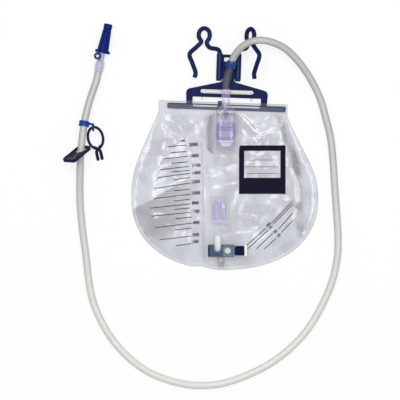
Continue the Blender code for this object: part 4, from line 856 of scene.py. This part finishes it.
def add_plate(name, outline, low, high, edge):
    """A flat moulding from its outline, with rounded edges."""
    curve = bpy.data.curves.new(name, 'CURVE')
    curve.dimensions = '2D'
    curve.fill_mode = 'BOTH'
    curve.extrude = (high - low) / 2 * mm
    spline = curve.splines.new('POLY')
    spline.points.add(len(outline) - 1)
    for point, (x, y) in zip(spline.points, outline):
        point.co = (*metres(x, y), 0.0, 1.0)
    spline.use_cyclic_u = True
    piece = as_piece(add_object(name, curve), at(0.0, 0.0, (low + high) / 2))
    rounding = piece.modifiers.new("edges", 'BEVEL')
    rounding.width = edge * mm
    rounding.segments = 3
    rounding.limit_method = 'ANGLE'
    rounding.angle_limit = math.radians(60.0)
    rounding.harden_normals = True
    return apply_all(piece)


# the clip's two jaws close over the tube and leave a narrow mouth
clip_place = hanger_place @ at(3.7, 56.0, 16.5, (-14.0, 'Z'), (90.0, 'X'))
jaws = []
for start, end in jaw_angles:
    jaw = arc(0.0, 0.0, clip_outside, start, end, 10) + arc(0.0, 0.0, clip_bore, end, start, 10)
    jaws.append(add_plate("clip_jaw", jaw, -clip_length / 2, clip_length / 2, 0.3))
    jaws[-1].data.transform(clip_place)
clip_jaws = join_pieces("clip_jaws", jaws)
clip_finish = Finish("bright_blue_plastic", roughness=0.3, specular_ior_level=0.1, coat_weight=0.1)
clip_finish.mottle(6.0, (0.003, 0.036, 0.19), (0.008, 0.068, 0.31)).grain(0.7, 0.05)
clip_finish.on(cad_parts["tube_clip"], clip_jaws)
fit(clip_jaws)


# Drip chamber: a flat violet-tinted PVC moulding in two halves, with a drip nozzle in its neck, a
# soft one-way valve at its foot and a valve cage between them, on a flange welded to the film.
chamber_x = 1.2
chamber_z = 16.5
dome_sections = (
    (42.7, 12.9, 6.5, 3.6), (43.4, 13.2, 6.5, 3.6), (44.2, 12.9, 6.5, 3.5), (47.6, 12.8, 6.5, 3.2),
    (49.6, 12.2, 6.5, 2.8), (51.2, 11.0, 6.45, 2.5), (52.6, 9.2, 6.3, 2.3), (53.6, 7.4, 6.1, 2.1),
    (54.6, 6.2, 6.0, 2.0), (56.5, 5.75, 5.75, 2.0), (60.0, 5.7, 5.7, 2.0), (72.4, 5.7, 5.7, 2.0),
    (73.0, 6.0, 6.0, 2.0), (74.4, 6.3, 6.2, 2.0), (76.2, 6.25, 6.1, 2.0), (77.1, 5.7, 5.7, 2.0),
)
body_sections = (
    (-2.5, 7.6, 4.0, 3.0), (-2.0, 8.8, 4.9, 3.0), (0.0, 10.9, 6.0, 3.2), (2.0, 12.3, 6.35, 3.4),
    (4.4, 12.9, 6.5, 3.6), (13.6, 12.9, 6.5, 3.6), (14.4, 13.5, 6.5, 3.6), (31.6, 13.5, 6.5, 3.6),
    (32.4, 12.9, 6.5, 3.6), (41.2, 12.9, 6.5, 3.6), (41.9, 13.2, 6.5, 3.6), (42.4, 13.0, 6.5, 3.6),
)
valve_sections = (
    (1.8, 5.7, 0.7, 3.0), (5.0, 7.4, 2.0, 3.0), (7.9, 9.0, 3.6, 3.0), (8.3, 11.3, 4.9, 3.6),
    (9.6, 11.3, 4.9, 3.6),
)
flange_x, flange_y = -1.9, 19.25
flange_half_x, flange_half_y = 22.4, 27.55


def skin(name, rings, sharp):
    """Join rings of points, lowest first and counterclockwise, and close both ends."""
    count = len(rings[0])
    faces = []
    for lower in range(0, count * (len(rings) - 1), count):
        upper = lower + count
        for i in range(count):
            j = (i + 1) % count
            faces.append((lower + i, lower + j, upper + j, upper + i))
    faces += [range(count)[::-1], range(upper, upper + count)]
    piece = add_mesh(name, [point for ring in rings for point in ring], [], faces)
    piece.data.shade_smooth()
    piece.data.set_sharp_from_angle(angle=math.radians(sharp))
    return piece


def add_loft(name, sections, sides=56):
    """Skin through sections of (y, half width, half depth, squareness) about the chamber's axis."""
    rings = []
    for y, half_x, half_z, power in sections:
        rings.append([])
        for i in range(sides):
            c, s = math.cos(2 * math.pi * i / sides), math.sin(-2 * math.pi * i / sides)
            rings[-1].append((chamber_x + half_x * math.copysign(abs(c) ** (2 / power), c), y,
                              chamber_z + half_z * math.copysign(abs(s) ** (2 / power), s)))
    return skin(name, rings, 50.0)


def add_turned(name, profile, place, steps=56):
    """Spin a profile of (radius, distance along) points about the axis of its place."""
    closing = [] if profile[0][0] == 0.0 else [(len(profile) - 1, 0)]
    edges = [(i, i + 1) for i in range(len(profile) - 1)] + closing
    piece = add_mesh(name, [(radius, 0.0, along) for radius, along in profile], edges, [])
    select_only(piece)
    bpy.ops.object.mode_set(mode='EDIT')
    bpy.ops.mesh.select_all(action='SELECT')
    bpy.ops.mesh.spin(steps=steps, angle=2 * math.pi, center=(0.0, 0.0, 0.0), axis=(0.0, 0.0, 1.0))
    bpy.ops.mesh.select_all(action='SELECT')
    bpy.ops.mesh.remove_doubles(threshold=0.002 * mm)
    bpy.ops.mesh.normals_make_consistent(inside=False)
    bpy.ops.object.mode_set(mode='OBJECT')
    piece.data.transform(place)
    bpy.ops.object.shade_smooth_by_angle(angle=math.radians(35.0))
    piece.select_set(False)
    return piece


def ellipse(x, y, half_x, half_y, count, z=0.0):
    angles = [2 * math.pi * i / count for i in range(count)]
    return [(x + half_x * math.cos(angle), y + half_y * math.sin(angle), z) for angle in angles]


def rounded_loop(x, y, half_x, half_y, radius, count=8):
    """Points round a rectangle with round corners, counterclockwise from its right side."""
    loop = []
    for side_x, side_y, start in ((1, 1, 0), (-1, 1, 90), (-1, -1, 180), (1, -1, 270)):
        corner_x, corner_y = x + side_x * (half_x - radius), y + side_y * (half_y - radius)
        loop += arc(corner_x, corner_y, radius, start, start + 90, count)
    return loop


def add_crowned(name, x, y, half_x, half_y, radius, levels, count=8):
    """A block with round corners through levels of (height, inset), lowest first."""
    rings = []
    for height, inset in levels:
        loop = rounded_loop(x, y, half_x - inset, half_y - inset, max(radius - inset, 0.05), count)
        rings.append([(*spot, height) for spot in loop])
    return skin(name, rings, 32.0)


dome = add_loft("chamber_dome_shell", dome_sections)
chamber = add_loft("chamber_body_shell", body_sections)
lips = add_loft("one_way_valve", valve_sections)
along_y = (-90.0, 'X')
nozzle = add_turned("drip_nozzle_cone", (
    (0.0, -19.0), (2.0, -19.0), (2.3, -18.6), (3.4, -2.0), (4.2, 0.0), (4.2, 7.0), (0.0, 7.0),
), at(chamber_x, 56.4, chamber_z, along_y))

cage_rods = []
for side in (-1, 1):
    rail = [(chamber_x + side * 10.1, y, chamber_z + 0.4) for y in (33.0, 30.0, 20.0, 11.2)]
    cage_rods.append(add_rod("cage_rail", rail, 1.15, 4))
    eye = ellipse(chamber_x + side * 5.6, 30.6, 3.5, 3.3, 32, chamber_z + 1.2)
    cage_rods.append(add_rod("cage_eye", eye, 0.75, 4, closed=True))
for y, lift, wave in ((26.4, 1.6, 0.9), (23.4, 1.2, 0.5), (13.2, 1.4, 0.0), (11.0, 1.4, 0.0)):
    bar = [(chamber_x + i / 20 * 9.6, y + wave * math.cos((i + 20) * math.pi / 5), chamber_z + lift)
           for i in range(-20, 21)]
    cage_rods.append(add_rod("cage_bar", bar, 0.6, 3))
valve_cage = join_pieces("valve_cage", cage_rods)

flange_parts = [add_crowned("flange_sheet", flange_x, flange_y, flange_half_x, flange_half_y, 12.0,
                            ((8.7, 0.3), (8.9, 0.0), (9.2, 0.0), (9.5, 0.5), (9.5, 2.0)), 12)]
for inset, lift, radius in ((1.6, 9.4, 0.55), (5.2, 9.45, 0.35), (8.0, 9.45, 0.3)):
    loop = rounded_loop(flange_x + inset * 0.18, flange_y, flange_half_x - inset, flange_half_y - inset,
                        12.6 - inset, 12)
    flange_parts.append(add_rod("weld_bead", [(*spot, lift) for spot in loop], radius, 3, closed=True))
flange = join_pieces("welded_flange", flange_parts)

violet_finish = Finish("violet_clear_plastic", roughness=0.08, specular_ior_level=0.9, coat_weight=0.8,
                       coat_roughness=0.04, coat_ior=1.7)
x, y, z = violet_finish.axes()
grip_band = y.between(13.6, 14.4, 31.8, 32.6)
walls = abs(x - chamber_x).rise(9.6, 12.4)
tinted = (grip_band * 0.5 + walls * 0.5).at_most(1.0)
violet_finish.set("Base Color", tinted.mix((0.56, 0.50, 0.80), (0.30, 0.22, 0.60)))
body_haze = violet_finish.noise(8.0) * 0.08 + grip_band * 0.06 + walls * 0.10 + 0.06
violet_finish.set("Alpha", body_haze + y.rise(48.0, 55.0) * 0.12 + violet_finish.edge_on(2.0) * 0.50)
violet_finish.grain(3.0, 0.12).on(dome, chamber)
cage_finish = Finish("violet_cage_plastic", base_color=(0.20, 0.12, 0.52), roughness=0.15,
                     specular_ior_level=0.8)
cage_finish.set("Alpha", cage_finish.edge_on(2.0) * 0.35 + cage_finish.noise(4.0) * 0.12 + 0.20)
cage_finish.on(valve_cage)
Finish("soft_valve_rubber", roughness=0.4).mottle(5.0, (0.62, 0.56, 0.80), (0.85, 0.83, 0.92)).on(lips)
nozzle_finish = Finish("violet_nozzle_plastic", base_color=(0.40, 0.38, 0.56), roughness=0.15,
                       coat_weight=0.8)
nozzle_finish.set("Alpha", nozzle_finish.noise(4.0) * 0.12 + 0.10 + nozzle_finish.edge_on(2.0) * 0.4)
nozzle_finish.on(nozzle)
flange_finish = Finish("welded_flange_pvc", roughness=0.12, specular_ior_level=1.0, coat_weight=1.0,
                       coat_roughness=0.05, coat_ior=1.8)
x, y, z = flange_finish.axes()
left_shade = x.fall(-20.0, -12.0)
under_chamber = abs(x - chamber_x).fall(12.9, 13.3) * y.between(-2.2, -0.8, 43.0, 43.8)
tone = left_shade.mix((0.72, 0.70, 0.82), (0.30, 0.22, 0.32))
flange_finish.set("Base Color", under_chamber.mix(tone, (0.56, 0.53, 0.68)))
clouded = left_shade * 0.12 + flange_finish.noise(10.0) * 0.10 + 0.08 + flange_finish.edge_on(2.0) * 0.35
flange_finish.set("Alpha", clouded.at_least(under_chamber))
flange_finish.on(flange)
fit(dome, "chamber_dome")
fit(chamber, "chamber_body")
fit(nozzle, "drip_nozzle")
fit(lips, "reflux_valve")
fit(flange, "chamber_flange")
fit(valve_cage)


# Vent: an arched violet cover with two lobes over a porous disc, on a clear patch that is welded
# to the middle of the front film.
vent_x, vent_y = -7.4, -83.3
vent_half_x, vent_half_y = 10.2, 16.7


def fuse(whole, part):
    """Unite a part with the piece it is moulded in one with, without walls between them."""
    union = whole.modifiers.new("union", 'BOOLEAN')
    union.operation = 'UNION'
    union.solver = 'EXACT'
    union.object = part
    apply_all(whole)
    bpy.data.objects.remove(part, do_unlink=True)


patch = add_crowned("vent_patch_sheet", vent_x, vent_y, 13.6, 20.1, 3.4,
                    ((8.7, 0.2), (8.8, 0.0), (9.1, 0.0), (9.2, 0.3), (9.15, 1.2)))
vent_cover = add_crowned("vent_arch_cover", vent_x, vent_y - 4.0, vent_half_x, vent_half_y - 4.0, 2.4,
                         ((9.5, 0.2), (9.7, 0.0), (10.2, 0.0), (10.5, 0.4)))
fuse(vent_cover, add_crowned("vent_arch", vent_x, vent_y + 6.5, vent_half_x, vent_half_x, 10.1,
                             ((9.5, 0.2), (9.7, 0.0), (10.2, 0.0), (10.45, 0.4)), 14))
for side in (-1, 1):
    fuse(vent_cover, add_crowned("vent_lobe", vent_x + side * 4.9, vent_y + 0.6, 3.9, 12.3, 3.85,
                                 ((10.0, 0.0), (11.6, 0.15), (12.4, 0.5), (12.9, 1.1), (13.1, 2.0)), 10))
vent_cover.data.set_sharp_from_angle(angle=math.radians(32.0))
vent_disc = add_turned("vent_disc", ((0.0, 0.0), (2.1, 0.0), (2.4, 0.2), (2.4, 0.7), (2.1, 0.9), (0.0, 0.95)),
                       at(vent_x + 4.9, vent_y + 5.4, 12.4))
vent_finish = Finish("vent_violet_plastic", roughness=0.10, specular_ior_level=0.9, coat_weight=0.8,
                     coat_roughness=0.05, coat_ior=1.7)
x, y, z = vent_finish.axes()
lobes = z.rise(10.7, 11.4)
rims = lobes * z.fall(12.4, 12.9)
tone = lobes.mix((0.66, 0.62, 0.84), (0.44, 0.38, 0.74))
vent_finish.set("Base Color", (rims * 0.8).mix(tone, (0.26, 0.20, 0.58)))
vent_finish.set("Alpha", vent_finish.noise(6.0) * 0.10 + lobes * 0.12 + rims * 0.16 + 0.12)
vent_finish.grain(2.5, 0.1).on(vent_cover)
patch_finish = Finish("vent_patch_pvc", roughness=0.12, specular_ior_level=0.8, coat_weight=0.6)
x, y, z = patch_finish.axes()
off_arch = hypot(x - vent_x, (y - vent_y - 6.5).at_least(0.0))
under_cover = off_arch.fall(9.5, 9.9) * (y - vent_y).rise(-16.5, -15.9)
patch_finish.set("Base Color", under_cover.mix((0.66, 0.66, 0.74), (0.62, 0.62, 0.74)))
clouded = patch_finish.noise(9.0) * 0.10 + 0.04 + patch_finish.edge_on(2.0) * 0.3
patch_finish.set("Alpha", clouded.at_least(under_cover))
patch_finish.on(patch)
Finish("porous_disc", base_color=(0.62, 0.60, 0.74), roughness=0.9).grain(0.3, 0.06).on(vent_disc)
fit(patch, "vent_patch")
fit(vent_cover, "vent_cover")
fit(vent_disc, "vent_filter")


# Outlet valve: a dark blue translucent body with a notch for the cream inlet stub, and a slider
# with a black seal and a white end, pushed in from the right. The cream spout points to the foot.
valve_left, valve_right = -22.4, 13.0
valve_top, valve_foot = -127.6, -144.0
valve_low, valve_high = 8.7, 19.7
valve_z = (valve_low + valve_high) / 2
corner = 2.0
stub_x, stub_low_y, stub_high_y = -9.6, -138.1, -113.6
stub_radius = 5.2
notch = stub_radius + 0.3
slider_y = -135.8
dial_x = 3.6

valve_outline = arc(valve_right - corner, valve_top - corner, corner, 0, 90)
valve_outline += [(stub_x + notch, valve_top)]
valve_outline += arc(stub_x, stub_low_y + stub_radius, notch, 0, -180, 16)
valve_outline += [(stub_x - notch, valve_top)]
valve_outline += arc(valve_left + corner, valve_top - corner, corner, 90, 180)
valve_outline += arc(valve_left + corner, valve_foot + corner, corner, 180, 270)
valve_outline += arc(valve_right - corner, valve_foot + corner, corner, 270, 360)
valve_parts = [add_plate("valve_block", valve_outline, valve_low, valve_high, 1.1)]
valve_parts.append(add_crowned("valve_window", 5.0, slider_y, 7.4, 6.9, 1.6,
                               ((19.5, 0.0), (19.85, 0.0), (19.95, 0.25), (19.8, 0.9), (19.8, 3.0))))
for y, ends in ((valve_foot + 0.9, (-20.6, -17.6, 8.0, 11.4)), (valve_top - 0.9, (-2.8, 0.0, 8.0, 11.4))):
    valve_parts.append(add_rod("valve_rib", [(x, y, valve_high - 0.1) for x in ends], 0.5, 3))
valve_block = join_pieces("valve_block", valve_parts)
stub = add_crowned("inlet_stub_capsule", stub_x, (stub_low_y + stub_high_y) / 2, stub_radius,
                   (stub_high_y - stub_low_y) / 2, 5.15,
                   ((8.7, 0.9), (9.4, 0.2), (11.0, 0.0), (13.6, 0.0), (15.4, 0.45), (16.6, 1.4),
                    (17.3, 2.7), (17.5, 4.2)), 12)
dial = join_pieces("dial_disc", [
    add_turned("dial_disc", ((0.0, 0.0), (4.5, 0.0), (4.8, 0.3), (4.8, 0.8), (4.5, 1.15), (3.9, 1.2),
                             (3.6, 0.9), (0.0, 0.8)), at(dial_x, slider_y, 19.4)),
    add_crowned("dial_slot_bar", dial_x, slider_y, 3.0, 0.5, 0.45,
                ((20.1, 0.0), (20.4, 0.0), (20.5, 0.15)), 3)])
spout = add_turned("tapered_spout", (
    (5.2, 0.0), (5.2, -1.5), (4.9, -2.0), (4.75, -2.4), (4.95, -2.8), (4.7, -5.2), (4.85, -5.6), (4.6, -6.0),
    (4.4, -12.0), (4.0, -12.6), (2.9, -12.6), (2.4, -12.0), (2.4, 0.0),
), at(-5.2, valve_foot - 0.3, valve_z, along_y))

slider_parts = [add_crowned("slider_block", 19.4, slider_y, 6.1, 6.3, 1.4,
                            ((9.7, 0.6), (10.1, 0.15), (10.6, 0.0), (17.8, 0.0), (18.4, 0.2), (18.7, 0.8),
                             (18.5, 1.6), (18.5, 3.0)))]
for ends, radius, resolution, radii in (
        ((5.3, 9.0, 14.0), 3.0, 6, None), ((1.0, 1.6, 2.8), 3.0, 6, (2.4, 3.0, 3.0)),
        ((2.6, 5.5), 1.7, 5, None)):
    stem = [(x, slider_y, valve_z) for x in ends]
    slider_parts.append(add_rod("slider_stem", stem, radius, resolution, radii=radii))
for x in (15.6, 18.0, 20.4, 22.8):
    ridge = [(x, slider_y + y, 18.45) for y in (-4.6, -4.0, 4.0, 4.6)]
    slider_parts.append(add_rod("grip_ridge", ridge, 0.5, 3))
slider = join_pieces("slider_block", slider_parts)
seal = add_turned("slider_ring", ((3.0, -0.9), (3.2, -0.5), (3.2, 0.5), (3.0, 0.9), (2.1, 0.9), (2.1, -0.9)),
                  at(4.0, slider_y, valve_z, (90.0, 'Y')), 36)
tip = add_crowned("slider_end_plate", 27.3, slider_y, 1.5, 7.5, 0.7,
                  ((9.7, 0.4), (10.1, 0.0), (18.2, 0.0), (18.6, 0.2), (18.7, 0.5)))

valve_finish = Finish("steel_blue_valve_plastic", roughness=0.15, specular_ior_level=0.3, coat_weight=0.25,
                      coat_roughness=0.05)
x, y, z = valve_finish.axes()
window = x.between(-3.4, -2.6, 11.6, 12.4) * z.rise(19.74, 19.82)
tone = valve_finish.noise(5.0).mix((0.025, 0.05, 0.11), (0.07, 0.12, 0.21))
tone = x.fall(-21.6, -18.6).mix(tone, (0.008, 0.012, 0.03))
valve_finish.set("Base Color", window.mix(tone, (0.10, 0.19, 0.27)))
valve_finish.grain(1.2, 0.06).on(valve_block)
cream_finish = Finish("pale_stub_plastic", roughness=0.2, coat_weight=0.6)
cream_finish.mottle(5.0, (0.54, 0.60, 0.56), (0.74, 0.77, 0.74)).grain(0.9, 0.05).on(stub)
dial_finish = Finish("pinkish_dial_plastic", roughness=0.35)
x, y, z = dial_finish.axes()
tone = dial_finish.noise(1.5).mix((0.50, 0.44, 0.42), (0.74, 0.68, 0.66))
dial_rim = hypot(x - dial_x, y - slider_y).rise(3.5, 4.0)
dial_finish.set("Base Color", dial_rim.mix(tone, (0.16, 0.25, 0.30)))
dial_finish.on(dial)
spout_finish = Finish("cream_spout_plastic", roughness=0.2, coat_weight=0.6)
spout_finish.set("Alpha", spout_finish.noise(3.0) * 0.3 + 0.55)
spout_finish.mottle(5.0, (0.36, 0.31, 0.27), (0.62, 0.59, 0.55)).on(spout)
slider_finish = Finish("slider_navy_plastic", roughness=0.25, specular_ior_level=0.04)
slider_finish.mottle(4.0, (0.003, 0.006, 0.030), (0.007, 0.014, 0.062)).grain(0.8, 0.04).on(slider)
seal_finish = Finish("black_seal", base_color=(0.02, 0.02, 0.02))
seal_finish.set("Roughness", seal_finish.noise(1.5) * 0.3 + 0.45)
seal_finish.on(seal)
white_finish = Finish("white_plastic", roughness=0.3, coat_weight=0.3)
white_finish.mottle(4.0, (0.80, 0.81, 0.80), (0.90, 0.91, 0.90)).on(tip)
fit(valve_block, "valve_body")
fit(stub, "inlet_stub")
fit(dial, "valve_dial")
fit(spout, "outlet_spout")
fit(slider, "valve_slider", "slider")
fit(seal, "slider_seal", "slider")
fit(tip, "slider_tip", "slider")


# Tube end: a clear sample port with a blue collar and a pale septum on its side boss, then the
# stepped catheter adapter, under a blue cap that pulls off.
end_place = at(-167.7, 101.0, 8.6, (-12.0, 'Z'))
along_end = end_place @ at(0.0, 0.0, 0.0, along_y)
boss_top = end_place @ at(-5.0, 20.0, 5.7)
adapter_rings = 5
cap_ribs = 12

port = join_pieces("sample_port", [
    add_turned("port_body", (
        (5.5, 0.3), (6.1, 0.9), (6.2, 2.0), (6.0, 3.0), (6.2, 4.0), (6.3, 11.8), (6.0, 12.8),
        (4.9, 14.0), (4.25, 15.6), (4.2, 23.4), (4.0, 24.3), (3.0, 24.4), (3.1, 16.6), (3.3, 15.0),
        (3.3, 0.3)), along_end),
    add_turned("port_boss", ((0.0, -3.4), (3.6, -3.4), (4.0, -3.0), (4.0, 5.0), (3.7, 5.4), (0.0, 5.4)),
               end_place @ at(-5.0, 20.0, 0.0), 40)])
collar = add_turned("port_ring", (
    (4.8, 0.4), (4.5, 0.0), (2.2, 0.0), (2.2, 1.3), (2.5, 1.6), (4.4, 1.6), (4.8, 1.2)), boss_top, 40)
septum = add_turned("port_membrane", (
    (0.0, 0.0), (1.9, 0.0), (1.9, 1.0), (1.5, 1.3), (0.6, 1.35), (0.0, 1.2)), boss_top, 32)
adapter_profile = [(4.6, 24.7), (4.6, 35.6), (4.2, 36.4)]
for ring in range(adapter_rings):
    foot, wide = 37.0 + ring * 4.0, 4.3 - 0.22 * ring
    adapter_profile += [(wide, foot), (wide - 0.35, foot + 3.6)]
adapter_profile += [(3.1, 57.6), (2.9, 58.6), (2.0, 58.7), (2.0, 24.7)]
adapter = add_turned("stepped_adapter", adapter_profile[::-1], along_end, 40)
cap_parts = [add_turned("cap_shell", (
    (0.0, 64.7), (4.6, 64.7), (5.3, 64.3), (5.65, 63.4), (5.75, 58.9), (5.6, 58.3), (5.2, 57.6), (5.35, 57.0),
    (7.5, 30.2), (7.6, 29.4), (7.6, 25.9), (7.3, 25.3), (5.2, 25.2), (5.2, 38.2), (3.8, 60.2), (0.0, 60.2)),
    along_end)]
for index in range(cap_ribs):
    angle = 2 * math.pi * (index + 0.5) / cap_ribs
    rib = [(radius * math.cos(angle), along, radius * math.sin(angle))
           for radius, along in ((7.35, 30.6), (7.2, 31.6), (5.45, 54.4), (5.2, 56.2))]
    cap_parts.append(add_rod("cap_rib", rib, 0.42, 2, end_place))
for side in (-1, 1):
    cap_parts.append(add_crowned("cap_ear", side * 8.1, 27.2, 1.8, 2.0, 0.8,
                                 ((-1.5, 0.3), (-1.2, 0.0), (1.2, 0.0), (1.5, 0.3)), 5))
    cap_parts[-1].data.transform(end_place)
cap = join_pieces("pull_off_cap", cap_parts)

port_finish = Finish("clear_port_plastic", base_color=(0.55, 0.52, 0.70), roughness=0.14, coat_weight=0.5,
                     coat_roughness=0.05)
port_finish.set("Alpha", port_finish.noise(5.0) * 0.3 + 0.42)
port_finish.on(port, adapter)
collar_finish = Finish("deep_blue_plastic", roughness=0.35, specular_ior_level=0.04, coat_weight=0.03)
collar_finish.mottle(8.0, (0.004, 0.012, 0.12), (0.008, 0.020, 0.17)).grain(0.8, 0.05).on(collar, cap)
septum_finish = Finish("pale_septum_rubber", roughness=0.5)
septum_finish.mottle(2.0, (0.50, 0.66, 0.70), (0.68, 0.80, 0.82)).on(septum)
fit(port, "port_connector")
fit(collar, "port_collar")
fit(septum, "port_septum")
fit(adapter, "catheter_adapter")
fit(cap, "protective_cap", "cap")


# Clips on the tube: a ribbed slide clamp stands threaded on it, and a blue band holds a dark
# spring clip by its ring, with which the tube is fastened to the bed sheet.
ring_half_x, ring_half_y = 9.9, 14.4
ring_wire = 1.8
prong_length = 16.0
prong_spread = 2.8
prong_radius = 2.1
prong_step = 0.99
prong_teeth = 5
ring_turn, ring_pitch = 12.0, 6.0
ring_lift = prong_radius + 0.4 + (ring_half_y + prong_length * 0.9) * math.sin(math.radians(ring_pitch))
ring_place = at(-171.6, 13.6, ring_lift, (ring_turn, 'Z'), (ring_pitch, 'X'))
eye_wire = 1.5
eye_radius = ring_wire + 2.1
band_middle = (-186.4, 32.0, 11.4)
band_along = (4.8, 30.0, -3.4)

clip_parts = [add_rod("clip_ring", ellipse(0.0, 0.0, ring_half_x, ring_half_y, 96), ring_wire, 6, ring_place,
                      closed=True)]
for side in (-1, 1):
    prong = smooth_path([(side * x, y - ring_half_y, 0.0) for x, y in (
        (ring_half_x * 0.55, 3.0), (ring_half_x * 0.18, 0.2), (-prong_spread * 0.8, -3.4),
        (-prong_spread, -prong_length * 0.5), (-prong_spread, -prong_length))], prong_step)
    radii = [prong_radius] * (len(prong) - 2) + [prong_radius * 0.93, prong_radius * 0.72]
    clip_parts.append(add_rod("clip_prong", prong, prong_radius, 6, ring_place, radii))
    for step in range(prong_teeth):
        tooth_y = -ring_half_y - prong_length * 0.5 - step * 1.5
        tooth = [(-side * (prong_spread + offset), tooth_y, 0.0) for offset in (-2.1, -1.2)]
        clip_parts.append(add_rod("grip_tooth", tooth, 0.6, 2, ring_place))
sheet_clip = join_pieces("spring_clip", clip_parts)

band_place = at(*band_middle) @ Vector(band_along).to_track_quat('Z', 'Y').to_matrix().to_4x4()
ring_top = ring_place @ Vector((0.0, ring_half_y * mm, 0.0)) / mm
eye = [ring_top + Vector((0.0, y, z)) for y, z, x in ellipse(0.0, 0.0, eye_radius, eye_radius, 40)]
link_start = Vector(band_middle) + Vector((6.15, 0.0, 0.0))
link_end = ring_top + Vector((0.0, eye_radius, 0.5))
band = join_pieces("blue_band", [
    add_turned("band_loop", (
        (6.7, 3.6), (7.0, 3.2), (7.0, 0.8), (6.6, 0.3), (6.6, -0.3), (7.0, -0.8), (7.0, -3.2), (6.7, -3.6),
        (5.5, -3.7), (5.3, -3.4), (5.3, 3.4), (5.5, 3.7)), band_place, 64),
    add_rod("band_eye", eye, eye_wire, closed=True),
    add_rod("band_link", [link_start, link_start.lerp(link_end, 0.5), link_end], eye_wire)])
clip_finish.on(band)
dark_finish = Finish("dark_clip_plastic", roughness=0.25, specular_ior_level=0.08)
dark_finish.mottle(10.0, (0.004, 0.006, 0.024), (0.012, 0.017, 0.055)).grain(0.9, 0.05)
dark_finish.on(sheet_clip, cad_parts["slide_clamp"])
fit(sheet_clip, "sheet_clip")
fit(band, "tube_band")
metres(*tube_path[0])
